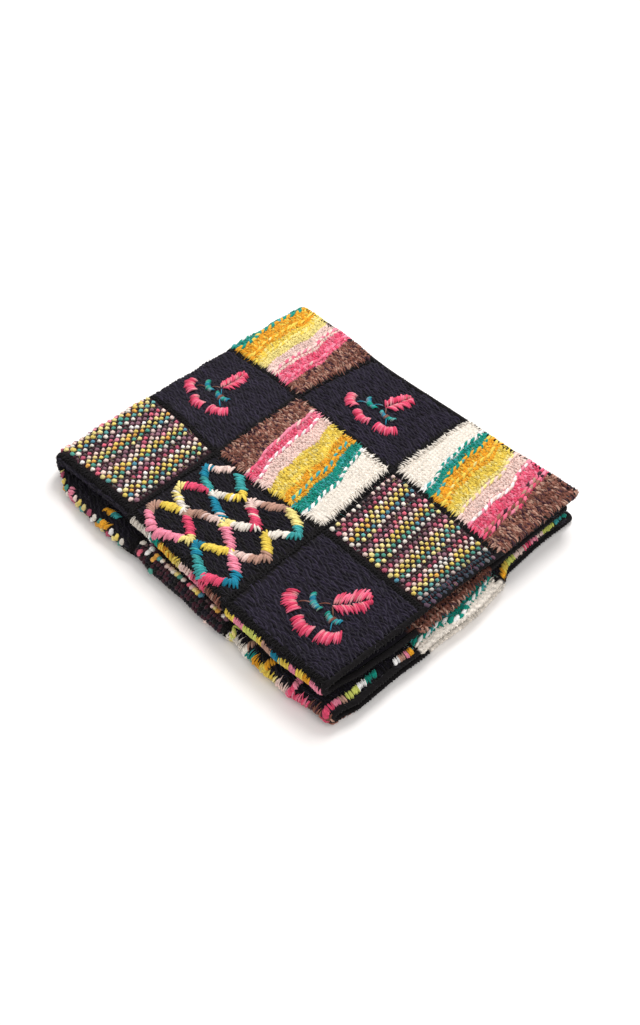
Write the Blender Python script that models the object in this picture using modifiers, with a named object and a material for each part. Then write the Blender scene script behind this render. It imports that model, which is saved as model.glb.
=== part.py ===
"""Knitted patchwork blanket, folded in half twice and laid flat.

The cloth is six patches by six. It is folded in half across its width, so that two small
bends lie at -Y, and then in half along its length, so that one large bend lies at -X. The
four layers end in open hems at +X and +Y. A crocheted edging runs round the whole cloth.

A place on the flat cloth is (along, across): metres from the join beside the large bend and
from the join beside the small bends, positive on the upper pair of layers and on the outer
layers. Metres, +Z up, origin under the middle.
"""

import math

import bpy
import numpy as np

# Cloth
PATCH_LENGTH = 0.217
PATCH_WIDTH = 0.170
PATCHES_FROM_FOLD = 3
JOIN_HALF_WIDTH = 0.009
KNIT_THICKNESS = 0.0115
LAYER_PITCH = 0.0188
HALF_LENGTH = PATCHES_FROM_FOLD * PATCH_LENGTH - JOIN_HALF_WIDTH
HALF_WIDTH = PATCHES_FROM_FOLD * PATCH_WIDTH - JOIN_HALF_WIDTH

# Bends, measured to the middle of the cloth's thickness
QUARTER = math.pi / 2
SMALL_BEND = LAYER_PITCH / 2
PAIR_BEND = LAYER_PITCH
LARGE_BEND = 3 * LAYER_PITCH / 2
STACK_HEIGHT = 3 * LAYER_PITCH + KNIT_THICKNESS
FLOOR_LAYER = KNIT_THICKNESS / 2
PRESSED = 0.76
BEND_TO_FLAT = LARGE_BEND * PRESSED * QUARTER
JOIN_ABOVE_SMALL_BEND = SMALL_BEND * QUARTER * 2 / 3
JOIN_BELOW_LARGE_BEND = 0.012

# Patches stand full between the joins, which are drawn in, and are thinner round the bends
JOIN_LOFT = 0.56
SHOULDER_LOFT = 0.90
BEND_LOFT = 0.74

# Edging
EDGING_RADIUS = 0.0050
EDGING_GAP = 0.0010
EDGING_CORNER = 0.0072

# Height of the stack as a share of STACK_HEIGHT, by patches from the large bend (rows) and
# patches from the small bends (columns)
HEIGHT_COLUMNS = (0.0, 1.5, 2.5, 3.0)
HEIGHT_SHARE = (
    # (patches_along, at_0, at_1_5, at_2_5, at_3)
    (0.0, PRESSED, PRESSED, PRESSED, PRESSED),
    (0.6, 0.97, 1.00, 0.97, 0.93),
    (1.5, 1.00, 1.00, 0.98, 0.95),
    (2.6, 0.99, 1.00, 0.96, 0.94),
    (3.0, 0.93, 0.97, 0.90, 0.88),
)

# How far the joins of the upper layers wander from a square grid, in metres, by patches from
# the large bend (rows) and patches from the small bends (columns)
WANDER_COLUMNS = (0.0, 1.0, 2.0, 3.0)
WANDER_ALONG = (
    # (patches_along, at_0, at_1, at_2, at_3)
    (0.0, 0.000, -0.003, -0.001, 0.003),
    (1.0, -0.001, -0.003, -0.007, 0.012),
    (2.0, 0.006, 0.005, -0.005, -0.003),
    (3.0, -0.003, 0.000, -0.002, 0.003),
)
WANDER_ACROSS = (
    # (patches_along, at_0, at_1, at_2, at_3)
    (0.0, -0.006, 0.008, 0.008, 0.006),
    (1.0, 0.000, -0.008, 0.002, -0.010),
    (2.0, -0.004, 0.009, -0.003, -0.005),
    (3.0, 0.006, 0.011, -0.010, 0.005),
)

# How far the hems of the two upper layers are drawn in, over the last half patch of cloth
FIRST_IN_AT_HEMS = (
    # (patches_across, in_along)
    (0.0, 0.0180),
    (0.35, 0.0165),
    (0.65, 0.0145),
    (1.0, 0.0122),
    (1.35, 0.0088),
    (1.65, 0.0050),
    (2.0, 0.0000),
    (3.0, 0.0000),
)
SECOND_IN_AT_HEMS = (
    # (patches_across, in_along)
    (0.0, 0.0180),
    (0.35, 0.0080),
    (0.65, 0.0030),
    (1.0, 0.0010),
    (1.35, 0.0000),
    (3.0, 0.0000),
)

# How far the lower layers lie out from under the upper ones. They come out gradually, over
# BEND_SLIDE of cloth round the large bend
BEND_SLIDE = 0.110
LOWER_OUT_AT_HEMS = (
    # (patches_across, out_along)
    (0.0, -0.021),
    (0.2, -0.0135),
    (0.5, -0.0125),
    (1.0, -0.0075),
    (1.5, -0.002),
    (1.88, -0.007),
    (2.06, -0.020),
    (2.5, -0.0215),
    (3.0, -0.017),
)
LOWER_OUT_AT_BENDS = (
    # (patches_along, out_across)
    (-0.1, 0.010),
    (0.2, 0.026),
    (0.5, 0.029),
    (0.85, 0.026),
    (1.0, 0.021),
    (1.15, 0.023),
    (1.6, 0.020),
    (1.88, 0.019),
    (2.02, 0.012),
    (2.15, 0.016),
    (2.5, 0.016),
    (2.8, 0.006),
    (3.0, 0.000),
)

# The middle of the folded stack, which is set over the origin
CENTRE = (0.3012, 0.2358, 0.0)

# Knit colours
NAVY = (0.030, 0.024, 0.042)
BLACK = (0.012, 0.010, 0.013)


def clear_scene():
    """Remove whatever the scene holds."""
    for item in list(bpy.data.objects):
        bpy.data.objects.remove(item, do_unlink=True)


def smooth(value):
    """An S-shaped rise from 0 to 1 as value goes from 0 to 1."""
    t = np.clip(value, 0.0, 1.0)
    return t * t * (3.0 - 2.0 * t)


def share_between(places, place):
    """For each place, the table row before it and its smoothed share of the way to the next."""
    row = np.clip(np.searchsorted(places, place) - 1, 0, len(places) - 2)
    share = (place - places[row]) / (places[row + 1] - places[row])
    return row, smooth(share)


def from_table(table, place):
    """Read a two-column table at each place, turning smoothly between its rows."""
    places, values = np.array(table).T
    row, share = share_between(places, place)
    return values[row] + (values[row + 1] - values[row]) * share


def from_grid(table, column_places, along, across):
    """Read a table of rows along and columns across at each place, turning smoothly."""
    grid = np.array(table)
    row, row_share = share_between(grid[:, 0], along)
    column, column_share = share_between(np.array(column_places), across)
    values = grid[:, 1:]
    before = values[row, column] + (values[row, column + 1] - values[row, column]) * column_share
    after = values[row + 1, column]
    after = after + (values[row + 1, column + 1] - after) * column_share
    return before + (after - before) * row_share


def turned(along, across):
    """The angle turned round the large bend and round a small bend, from -QUARTER to QUARTER."""
    place = (along - JOIN_BELOW_LARGE_BEND) / BEND_TO_FLAT * QUARTER
    turn = (across + JOIN_ABOVE_SMALL_BEND) / SMALL_BEND
    return np.clip(place, -QUARTER, QUARTER), np.clip(turn, -QUARTER, QUARTER)


def folded(along, across):
    """Where places of the flat cloth come to lie, as an array of points.

    Across, the cloth turns half a circle of SMALL_BEND at -Y, from the outer layer to the
    inner one. Along, that pair of layers turns half a circle of PAIR_BEND at -X, pressed
    flatter there. The stack's height, the joins' wander and the lower layers' place are
    then read from the tables above.
    """
    swing, turn = turned(along, across)
    offset = SMALL_BEND * np.sin(turn)
    past_bend = np.abs(across + JOIN_ABOVE_SMALL_BEND) - SMALL_BEND * QUARTER
    y = np.maximum(past_bend, 0.0) - SMALL_BEND * np.cos(turn)

    reach = PAIR_BEND + offset
    past_bend = np.abs(along - JOIN_BELOW_LARGE_BEND) - BEND_TO_FLAT
    x = np.maximum(past_bend, 0.0) - PRESSED * reach * np.cos(swing)
    z = STACK_HEIGHT / 2 + reach * np.sin(swing)

    patches_along = x / PATCH_LENGTH
    patches_across = y / PATCH_WIDTH
    share = from_grid(HEIGHT_SHARE, HEIGHT_COLUMNS, patches_along, patches_across)
    z = FLOOR_LAYER + (z - FLOOR_LAYER) * share
    upper = (1.0 + np.sin(swing)) / 2
    wander = from_grid(WANDER_ALONG, WANDER_COLUMNS, patches_along, patches_across)
    x = x + upper * wander
    wander = from_grid(WANDER_ACROSS, WANDER_COLUMNS, patches_along, patches_across)
    y = y + upper * wander
    first = from_table(FIRST_IN_AT_HEMS, patches_across)
    second = from_table(SECOND_IN_AT_HEMS, patches_across)
    drawn_in = second + (first - second) * (1.0 + np.sin(turn)) / 2
    x = x - upper * smooth(2.0 * patches_along - 4.6) * drawn_in
    lower = smooth(0.5 - (along - JOIN_BELOW_LARGE_BEND) / BEND_SLIDE)
    near_hem = smooth(patches_along - 1.5)
    x = x + (1.0 - upper) * near_hem * from_table(LOWER_OUT_AT_HEMS, patches_across)
    lower = lower * (1.0 - smooth(patches_across / PATCHES_FROM_FOLD))
    y = y - lower * from_table(LOWER_OUT_AT_BENDS, patches_along)
    return np.stack([x, y, z], axis=-1)


def stations(arc, join_offset, patch, inner_places, arc_steps):
    """Places along one direction of the flat cloth where its mesh has points.

    They are the steps round the bend, whose quarter is arc long, each join with its two
    shoulders, and the inner places of each patch.
    """
    arc_places = [arc * step / arc_steps - join_offset for step in range(-arc_steps, arc_steps + 1)]
    flat_places = []
    for index in range(-PATCHES_FROM_FOLD, PATCHES_FROM_FOLD):
        start = index * patch
        flat_places += [start, start + JOIN_HALF_WIDTH, start + patch - JOIN_HALF_WIDTH]
        flat_places += [start + patch * share for share in inner_places]
    clear = arc + JOIN_HALF_WIDTH / 2
    outside = [place for place in flat_places if abs(place + join_offset) > clear]
    return np.array(sorted(arc_places + outside[1:]))


def loft(along, across):
    """Share of the full thickness at each place: less at the joins, full on the floor."""
    share = np.ones(np.broadcast(along, across).shape)
    for place, patch in ((along, PATCH_LENGTH), (across, PATCH_WIDTH)):
        from_join = np.abs(place - patch * np.round(place / patch))
        shoulder = SHOULDER_LOFT + (1.0 - SHOULDER_LOFT) * smooth(from_join / (3 * JOIN_HALF_WIDTH))
        dip = JOIN_LOFT + (shoulder - JOIN_LOFT) * smooth(from_join / JOIN_HALF_WIDTH)
        share = np.minimum(share, dip)
    swing, turn = turned(along, across)
    share = share * (1.0 - (1.0 - BEND_LOFT) * np.maximum(np.cos(swing), np.cos(turn)))
    on_floor = (swing == -QUARTER) & (turn == QUARTER)
    return np.where(on_floor, 1.0, share)


def knit_material(name, colour):
    """A dull wool finish."""
    material = bpy.data.materials.new(name)
    material.use_nodes = True
    shader = material.node_tree.nodes["Principled BSDF"]
    shader.inputs["Base Color"].default_value = (*colour, 1.0)
    shader.inputs["Roughness"].default_value = 0.9
    shader.inputs["Metallic"].default_value = 0.0
    return material


def sheet_object(points, weights, collection):
    """The folded cloth as an open grid of faces, given its thickness by Solidify."""
    rows, columns = points.shape[:2]
    index = np.arange(rows * columns).reshape(rows, columns)
    corners = [index[:-1, :-1], index[:-1, 1:], index[1:, 1:], index[1:, :-1]]
    faces = np.stack(corners, axis=-1).reshape(-1, 4)
    mesh = bpy.data.meshes.new("blanket")
    mesh.from_pydata(points.reshape(-1, 3).tolist(), [], faces.tolist())
    mesh.shade_smooth()
    blanket = bpy.data.objects.new("blanket", mesh)
    collection.objects.link(blanket)
    group = blanket.vertex_groups.new(name="loft")
    for vertex, weight in enumerate(weights.reshape(-1)):
        group.add([vertex], float(weight), "REPLACE")
    thicken = blanket.modifiers.new("thickness", "SOLIDIFY")
    thicken.thickness = KNIT_THICKNESS
    thicken.offset = 0.0
    thicken.use_even_offset = False
    thicken.vertex_group = group.name
    blanket.data.materials.append(knit_material("knitted_wool", NAVY))
    return blanket


def edging_route(along, across):
    """The edging's line round the flat cloth: four sides joined by rounded corners."""
    out = EDGING_GAP + EDGING_RADIUS
    far_along = HALF_LENGTH + out
    far_across = HALF_WIDTH + out
    side_u = along[np.abs(along) < far_along - EDGING_CORNER]
    side_v = across[np.abs(across) < far_across - EDGING_CORNER]
    angles = np.linspace(0.0, QUARTER, 4)
    corner = EDGING_CORNER * (1.0 - np.stack([np.sin(angles), np.cos(angles)], axis=-1))
    route = []
    for sign_u, sign_v in ((1, 1), (-1, 1), (-1, -1), (1, -1)):
        turn = np.array([far_along, far_across]) - corner
        if sign_u * sign_v > 0:
            turn = turn[::-1]
        route.append(turn * (sign_u, sign_v))
        if sign_u * sign_v > 0:
            line = side_u[::-1] if sign_u > 0 else side_u
            route.append(np.stack([line, np.full_like(line, sign_v * far_across)], axis=-1))
        else:
            line = side_v[::-1] if sign_v > 0 else side_v
            route.append(np.stack([np.full_like(line, sign_u * far_along), line], axis=-1))
    return np.concatenate(route)


def edging_object(points, collection):
    """The crocheted edging as one closed tube."""
    curve = bpy.data.curves.new("edging", "CURVE")
    curve.dimensions = "3D"
    curve.bevel_depth = EDGING_RADIUS
    curve.bevel_resolution = 1
    spline = curve.splines.new("POLY")
    spline.points.add(len(points) - 1)
    spline.points.foreach_set("co", np.c_[points, np.ones(len(points))].ravel())
    spline.use_cyclic_u = True
    edging = bpy.data.objects.new("edging", curve)
    collection.objects.link(edging)
    curve.materials.append(knit_material("black_wool", BLACK))
    return edging


def main():
    """Build the blanket and its edging, centred over the origin."""
    clear_scene()
    collection = bpy.data.collections.new("knitted_patchwork_blanket")
    bpy.context.scene.collection.children.link(collection)

    along = stations(BEND_TO_FLAT, -JOIN_BELOW_LARGE_BEND, PATCH_LENGTH, (0.27, 0.5, 0.73), 4)
    arc = SMALL_BEND * QUARTER
    across = stations(arc, JOIN_ABOVE_SMALL_BEND, PATCH_WIDTH, (0.35, 0.65), 3)
    grid_u, grid_v = np.meshgrid(along, across, indexing="ij")
    cloth = folded(grid_u, grid_v)
    route = edging_route(along, across)
    edge = folded(route[:, 0], route[:, 1])

    sheet_object(cloth - CENTRE, loft(grid_u, grid_v), collection)
    edging_object(edge - CENTRE, collection)


main()
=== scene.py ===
"""Looks of the folded patchwork blanket: its cloth, stitches, joins, edging and sprigs.

Every stitch is a strand of yarn worked out on the flat cloth, as places along it, across it
and above it, and then carried on to the folded cloth. The cloth is six patches by six. It is
folded across its width, with two small bends at -Y, and then along its length, with one
large bend at -X.
"""

from __future__ import annotations

import logging
import math
from collections.abc import Iterator
from dataclasses import dataclass, field
from enum import Enum
from typing import NamedTuple

import bpy
import numpy as np
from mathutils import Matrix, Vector


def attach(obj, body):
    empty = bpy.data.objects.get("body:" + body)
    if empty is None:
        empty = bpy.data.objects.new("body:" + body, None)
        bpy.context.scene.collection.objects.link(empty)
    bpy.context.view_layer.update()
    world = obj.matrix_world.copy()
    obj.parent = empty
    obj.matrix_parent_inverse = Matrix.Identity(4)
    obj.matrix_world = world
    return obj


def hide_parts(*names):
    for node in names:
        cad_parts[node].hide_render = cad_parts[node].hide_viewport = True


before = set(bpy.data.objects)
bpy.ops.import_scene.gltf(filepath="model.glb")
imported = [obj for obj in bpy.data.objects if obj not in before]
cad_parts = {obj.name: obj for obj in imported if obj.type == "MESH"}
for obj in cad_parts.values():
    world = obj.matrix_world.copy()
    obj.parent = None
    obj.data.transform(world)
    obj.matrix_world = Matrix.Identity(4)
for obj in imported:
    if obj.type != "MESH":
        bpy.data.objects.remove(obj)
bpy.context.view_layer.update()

LOG = logging.getLogger("blanket")
BODY = "root"
COLOUR_LAYER = "Yarn"
TWIST_LAYER = "Twist"
QUARTER = math.pi / 2
PLIES = 2.0
TURNS_PER_METRE = 90.0
# Up, tipped a little, so that no strand is parallel to it
NEARLY_UP = (0.0, 0.02, 1.0)
# Keeps a division away from zero
TINY = 1e-12
# Lowest height of any point, so that nothing lies in the floor
FLOOR_CLEARANCE = 0.0002
# The patches that end at a hem, along or across
AT_HEMS = (2, -3)


class Yarn(Enum):
    """The yarns' colours in daylight, from 0 to 255."""

    CREAM = (240, 231, 219)
    WHITE = (248, 246, 244)
    PALE_YELLOW = (242, 224, 140)
    YELLOW = (238, 208, 84)
    GOLD = (238, 168, 34)
    LIME = (206, 212, 104)
    PALE_PINK = (243, 212, 202)
    PINK = (242, 142, 166)
    CORAL = (238, 112, 140)
    HOT_PINK = (228, 76, 112)
    ROSE = (208, 54, 90)
    MAGENTA = (182, 42, 92)
    MAUVE = (132, 74, 100)
    TEAL = (0, 146, 128)
    SEA = (60, 164, 164)
    BLUE = (14, 130, 158)
    BEIGE = (186, 144, 126)
    BROWN = (124, 74, 60)
    TAN = (158, 104, 88)
    PLUM = (66, 30, 42)
    NAVY = (40, 34, 51)
    NIGHT = (24, 19, 31)
    BLACK = (17, 14, 16)

    @property
    def linear(self) -> np.ndarray:
        """The colour as scene-linear red, green and blue."""
        share = np.array(self.value) / 255.0
        return np.where(share <= 0.04045, share / 12.92, ((share + 0.055) / 1.055) ** 2.4)


def skeins(names: str) -> tuple[Yarn, ...]:
    """The yarns with these names, which stand apart by spaces."""
    return tuple(Yarn[name] for name in names.split())


def courses(chart: str) -> tuple[list[Yarn], list[Yarn]]:
    """Read a chart of knit courses, such as "CREAM 2, WHITE+TEAL 1".

    Each item has a yarn, or two yarns twisted together, and a number of courses.

    Args:
        chart: The items, from the patch's -X side.

    Returns:
        The main yarn of each course, and its second one, which is the same if it has none.
    """
    main, second = [], []
    for item in chart.split(", "):
        names, number = item.split(" ")
        twisted = [Yarn[name] for name in names.split("+")]
        main += twisted[:1] * int(number)
        second += twisted[-1:] * int(number)
    return main, second


class Knit(Enum):
    """The four kinds of patch."""

    WOVEN = "W"
    STRIPED = "S"
    NET = "G"
    PLAIN = "N"


LAYOUT = (
    # (patch along, kinds from patch -3 to patch 2 across)
    (2, "NSGNWS"),
    (1, "GNSGSN"),
    (0, "WGNWNS"),
    (-1, "SNGWGN"),
    (-2, "NGWNSW"),
    (-3, "GSGSNN"),
)
# How far from a patch's near and far sides its stitches stay, where that isn't as usual
NEAR_FOLD = {(-1, 0): -0.018, (-3, 0): -0.012, (-2, -1): -0.006, (1, -1): 0.0105}
PAST_HEM = {(-3, -2): -0.028, (2, -2): -0.018}
# How far the wrong side's stitches go over the hem at +X
OVER_HEM = {(2, -2): 0.0200}

# Courses of the striped patches
TEAL_FIRST = courses(
    "CREAM 2, WHITE+TEAL 1, TEAL 2, GOLD+TEAL 1, GOLD 3, GOLD+YELLOW 1, GOLD 1, YELLOW 2, "
    "YELLOW+PALE_YELLOW 1, PALE_YELLOW 3, PALE_PINK 3, PINK+PALE_PINK 1, PALE_PINK 1, "
    "HOT_PINK 3, PINK+HOT_PINK 1, HOT_PINK 1, BROWN 6")
BROWN_FIRST = courses(
    "BROWN 7, PINK+HOT_PINK 1, HOT_PINK 2, PINK+WHITE 1, PALE_PINK 4, YELLOW 5, GOLD 2, "
    "GOLD+SEA 1, GOLD 1, TEAL 3, WHITE+TEAL 1, CREAM 6")
CREAM_FIRST = courses(
    "CREAM 6, WHITE+TEAL 1, TEAL 2, GOLD+TEAL 1, GOLD 2, YELLOW+GOLD 1, GOLD 1, YELLOW 3, "
    "PALE_YELLOW 1, PALE_PINK+PALE_YELLOW 1, PALE_PINK 3, PINK+WHITE 1, HOT_PINK 3, "
    "HOT_PINK+BROWN 2, BROWN 6")
AT_THE_HEM = courses(
    "BROWN 24, TEAL 1, TEAL+WHITE 1, CREAM 5")
STRIPES = {
    # (patch along, patch across): (courses, their lean at the near and at the far end)
    (0, 2): (TEAL_FIRST, (0.02, 0.17)),
    (1, 1): (BROWN_FIRST, (0.12, 0.12)),
    (2, 2): (CREAM_FIRST, (0.12, 0.12)),
    (-3, -2): (AT_THE_HEM, (0.0, 0.0)),
}
USUAL_STRIPES = (CREAM_FIRST, (0.05, 0.05))
# Uneven yarns, and the colours that their stitches are drawn from
PLIES_OF = {
    Yarn.BROWN: skeins("BROWN BROWN BEIGE PLUM TAN"),
    Yarn.HOT_PINK: skeins("HOT_PINK CORAL HOT_PINK CORAL PINK"),
    Yarn.PINK: skeins("PINK PINK PALE_PINK PINK CORAL"),
    Yarn.YELLOW: skeins("YELLOW YELLOW PALE_YELLOW YELLOW YELLOW"),
    Yarn.GOLD: skeins("GOLD GOLD YELLOW GOLD GOLD"),
    Yarn.TEAL: skeins("TEAL TEAL SEA TEAL TEAL"),
}
# How far stripes stay from a join, and from the line of a join that would be at a hem
STRIPE_MARGINS = (0.0068, 0.0045)

# Bead courses of a woven patch, over and over from its -X side
BEAD_COURSES = (
    skeins("CREAM PALE_YELLOW CREAM PALE_PINK"),
    skeins("PLUM NIGHT MAUVE PLUM"),
    skeins("MAGENTA HOT_PINK MAGENTA MAUVE"),
    skeins("PALE_PINK PINK WHITE PALE_PINK"),
    skeins("PALE_YELLOW CREAM YELLOW PALE_YELLOW"),
    skeins("YELLOW GOLD YELLOW PALE_YELLOW"),
    skeins("TEAL BLUE TEAL SEA"),
)
BEAD_GROUND = skeins("BLACK PLUM NIGHT PLUM")
# Waves of the courses: (size, turns_up, turns_along, start)
COURSE_WAVES = ((0.016, 7.5, 5.0, 0.0), (0.009, 17.0, 11.0, 3.0))

# Yarns of the net's chain lines
NET_YARNS = skeins("CREAM YELLOW BEIGE SEA BLUE PALE_PINK PINK HOT_PINK PALE_YELLOW")


def loose_net(rows: int = 4, meshes: int = 3, swing: float = 0.115,
              uneven: float = 0.020) -> tuple:
    """Chain lines of a loose net, laid out by rule.

    Row k lies at (k + 0.5) / rows along the patch and runs right across it. It swings to
    either side as a zigzag with one full swing for each mesh, and its neighbours swing the
    other way, so that the rows meet at every other turn and close the meshes. Each corner
    is moved by a small draw, and each row takes the yarns in an order drawn for it.

    Args:
        rows: How many chain lines there are.
        meshes: How many meshes there are across the patch.
        swing: How far a line swings to either side, as a share of the patch.
        uneven: The spread of the corners' small moves, as a share of the patch.

    Returns:
        The lines, each with its corners in shares of the patch and its yarns.
    """
    draw = np.random.default_rng(70)
    lines = []
    for row in range(rows):
        corner = np.arange(4 * meshes + 1)
        along = (row + 0.5) / rows + swing * np.cos(np.pi * (corner / 2 + row))
        along = np.clip(along + draw.normal(0.0, uneven, len(corner)), 0.06, 0.94)
        across = np.linspace(-0.01, 0.98, len(corner))
        order = draw.permutation(len(NET_YARNS))
        lines.append((tuple(zip(along, across)), tuple(NET_YARNS[place] for place in order)))
    return tuple(lines)


NET_LINES = loose_net()
# Nets that show only beside a bend or a hem
SIDE_LINES = {
    (2, -1): (
        (((0.03, 0.075), (0.25, 0.060), (0.50, 0.075), (0.75, 0.060), (0.97, 0.070)),
         skeins("YELLOW PINK LIME YELLOW BEIGE BLUE YELLOW PINK YELLOW GOLD PINK")),
        (((0.945, 0.22), (0.950, 0.27)), skeins("LIME")),
        (((0.950, 0.36), (0.962, 0.40), (0.948, 0.44)), skeins("WHITE")),
        (((0.930, 0.46), (0.935, 0.51)), skeins("LIME")),
        (((0.945, 0.58), (0.958, 0.62)), skeins("WHITE TEAL")),
        (((0.940, 0.76), (0.948, 0.80)), skeins("LIME")),
        (((0.945, 0.92), (0.950, 0.96)), skeins("SEA")),
    ),
    (-3, -1): (
        (((0.04, -0.03), (0.07, 0.10), (0.04, 0.25)), skeins("PALE_YELLOW LIME")),
        (((0.27, -0.03), (0.24, 0.10), (0.27, 0.25)), skeins("CREAM BEIGE")),
        (((0.48, -0.03), (0.45, 0.10), (0.47, 0.25)), skeins("YELLOW GOLD")),
        (((0.66, -0.03), (0.69, 0.10), (0.67, 0.25)), skeins("HOT_PINK PINK")),
        (((0.950, 0.035), (0.940, 0.12), (0.930, 0.30), (0.925, 0.62)),
         skeins("HOT_PINK HOT_PINK PINK BEIGE LIME LIME WHITE TEAL TEAL")),
        (((0.945, 0.78), (0.955, 0.97)), skeins("WHITE BEIGE PINK GOLD")),
    ),
    (-3, -3): (
        (((0.965, 0.04), (0.965, 1.00)),
         skeins("GOLD YELLOW LIME PALE_PINK PALE_PINK HOT_PINK PINK PALE_PINK LIME LIME SEA TEAL")),
    ),
    (-1, -1): (
        (((0.34, 0.02), (0.28, 0.12)), skeins("PINK")),
        (((0.66, 0.08), (0.76, 0.10)), skeins("GOLD")),
        (((0.62, 0.20), (0.76, 0.22)), skeins("GOLD SEA")),
    ),
}


def sprig(lean: float, size: float) -> tuple:
    """Where the parts of one sprig lie, laid out by rule in shares of the patch.

    The leaf grows from a point just past the middle, turned by lean from straight across.
    Three fans stand at equal angles on an arc below that point, and two buds lie half way
    from it to the outer fans.

    Args:
        lean: The leaf's turn, in radians.
        size: What the sizes of the leaf and the fans are multiplied by.

    Returns:
        The leaf's base and tip, the fans, the buds and the size.
    """
    base = np.array([0.50, 0.54])
    tip = base + 0.31 * np.array([math.sin(lean), math.cos(lean)])
    angles = np.radians([-140.0, -95.0, -50.0])
    fans = base + 0.27 * np.stack([np.cos(angles), np.sin(angles)], axis=-1)
    return base, tip, fans, (base + fans[[0, 2]]) / 2, size


# Sprigs of the plain patches, by patch along and across
SPRIGS = {(0, 1): sprig(0.0, 0.88), (1, 2): sprig(0.15, 0.92), (2, 0): sprig(0.60, 1.0)}


@dataclass(frozen=True)
class WoolFinish:
    """A dull wool finish, whose colour comes from the piece's own colour layer."""

    name: str
    roughness: float = 0.92
    sheen: float = 0.10
    gloss: float = 0.15
    mottle: float = 0.30
    mottle_scale: float = 260.0
    grain_depth: float = 0.00035
    ply_depth: float = 0.0
    # Painted shade: how much darker the colour gets in the furrows between the plies
    ply_shade: float = 0.0
    sheen_roughness: float = 0.6
    grain_scale: float = 1400.0
    noise_detail: float = 2.5
    ply_distortion: float = 0.6

    def material(self) -> bpy.types.Material:
        """The finish as nodes.

        The base colour is the yarn's colour times a mottle, a noise on Object coordinates,
        and times a ply shade, a sine along the piece's twist layer, which is painted shade in
        the furrows between the plies. The bump adds a fine fibre noise to the same sine.

        Returns:
            The new material.
        """
        material = bpy.data.materials.new(self.name)
        material.use_nodes = True
        nodes, links = material.node_tree.nodes, material.node_tree.links
        shader = nodes["Principled BSDF"]
        shader.inputs["Roughness"].default_value = self.roughness
        shader.inputs["Sheen Weight"].default_value = self.sheen
        shader.inputs["Sheen Roughness"].default_value = self.sheen_roughness
        shader.inputs["Specular IOR Level"].default_value = self.gloss

        def noise(scale: float) -> bpy.types.NodeSocket:
            """A noise on Object coordinates.

            Args:
                scale: How fine the noise is.

            Returns:
                The noise's socket.
            """
            node = nodes.new("ShaderNodeTexNoise")
            node.inputs["Scale"].default_value = scale
            node.inputs["Detail"].default_value = self.noise_detail
            links.new(place, node.inputs["Vector"])
            return node.outputs["Fac"]

        def ranged(value: bpy.types.NodeSocket, low: float, high: float,
                   to_low: float, to_high: float) -> bpy.types.NodeSocket:
            """The value, moved from one range to another.

            Args:
                value: The value.
                low: The old range's start.
                high: Its end.
                to_low: The new range's start.
                to_high: Its end.

            Returns:
                The result's socket.
            """
            node = nodes.new("ShaderNodeMapRange")
            for name, number in (("From Min", low), ("From Max", high),
                                 ("To Min", to_low), ("To Max", to_high)):
                node.inputs[name].default_value = number
            links.new(value, node.inputs["Value"])
            return node.outputs["Result"]

        def bump(height: bpy.types.NodeSocket, depth: float) -> bpy.types.Node:
            """A bump node over the given height.

            Args:
                height: The height's socket.
                depth: Its depth in metres.

            Returns:
                The bump node.
            """
            node = nodes.new("ShaderNodeBump")
            node.inputs["Distance"].default_value = depth
            node.inputs["Strength"].default_value = 1.0
            links.new(height, node.inputs["Height"])
            return node

        place = nodes.new("ShaderNodeTexCoord").outputs["Object"]
        yarn = nodes.new("ShaderNodeAttribute")
        yarn.attribute_name = COLOUR_LAYER
        factor = ranged(noise(self.mottle_scale), 0.3, 0.7,
                        1.0 - self.mottle, 1.0 + self.mottle / 2)
        surface = bump(noise(self.grain_scale), self.grain_depth)
        if self.ply_depth > 0.0:
            twist = nodes.new("ShaderNodeUVMap")
            twist.uv_map = TWIST_LAYER
            ply = nodes.new("ShaderNodeTexWave")
            ply.inputs["Scale"].default_value = 2.0 * math.pi / 20.0
            ply.inputs["Distortion"].default_value = self.ply_distortion
            links.new(twist.outputs["UV"], ply.inputs["Vector"])
            furrow = bump(ply.outputs["Fac"], self.ply_depth)
            links.new(surface.outputs["Normal"], furrow.inputs["Normal"])
            surface = furrow
            both = nodes.new("ShaderNodeMath")
            both.operation = "MULTIPLY"
            links.new(factor, both.inputs[0])
            links.new(ranged(ply.outputs["Fac"], 0.0, 1.0, 1.0 - self.ply_shade, 1.0),
                      both.inputs[1])
            factor = both.outputs["Value"]
        tint = nodes.new("ShaderNodeVectorMath")
        tint.operation = "SCALE"
        links.new(yarn.outputs["Color"], tint.inputs[0])
        links.new(factor, tint.inputs["Scale"])
        links.new(tint.outputs["Vector"], shader.inputs["Base Color"])
        links.new(surface.outputs["Normal"], shader.inputs["Normal"])
        return material


def smooth(value: np.ndarray) -> np.ndarray:
    """An S-shaped rise from 0 to 1 as value goes from 0 to 1."""
    t = np.clip(value, 0.0, 1.0)
    return t * t * (3.0 - 2.0 * t)


def unit(vectors: np.ndarray) -> np.ndarray:
    """The vectors, each scaled to a length of one."""
    return vectors / np.maximum(np.linalg.norm(vectors, axis=-1, keepdims=True), TINY)


def share_between(places: np.ndarray, place: np.ndarray) -> tuple[np.ndarray, np.ndarray]:
    """Where each place lies among a table's rows.

    Args:
        places: The rows' places, rising.
        place: The places asked for.

    Returns:
        The row before each place, and its smoothed share of the way to the next row.
    """
    row = np.clip(np.searchsorted(places, place) - 1, 0, len(places) - 2)
    return row, smooth((place - places[row]) / (places[row + 1] - places[row]))


def from_table(table: tuple, place: np.ndarray) -> np.ndarray:
    """Read a two-column table at each place, turning smoothly between its rows.

    Args:
        table: The table's rows.
        place: The places asked for.

    Returns:
        The values.
    """
    places, values = np.array(table).T
    row, share = share_between(places, place)
    return values[row] + (values[row + 1] - values[row]) * share


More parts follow.
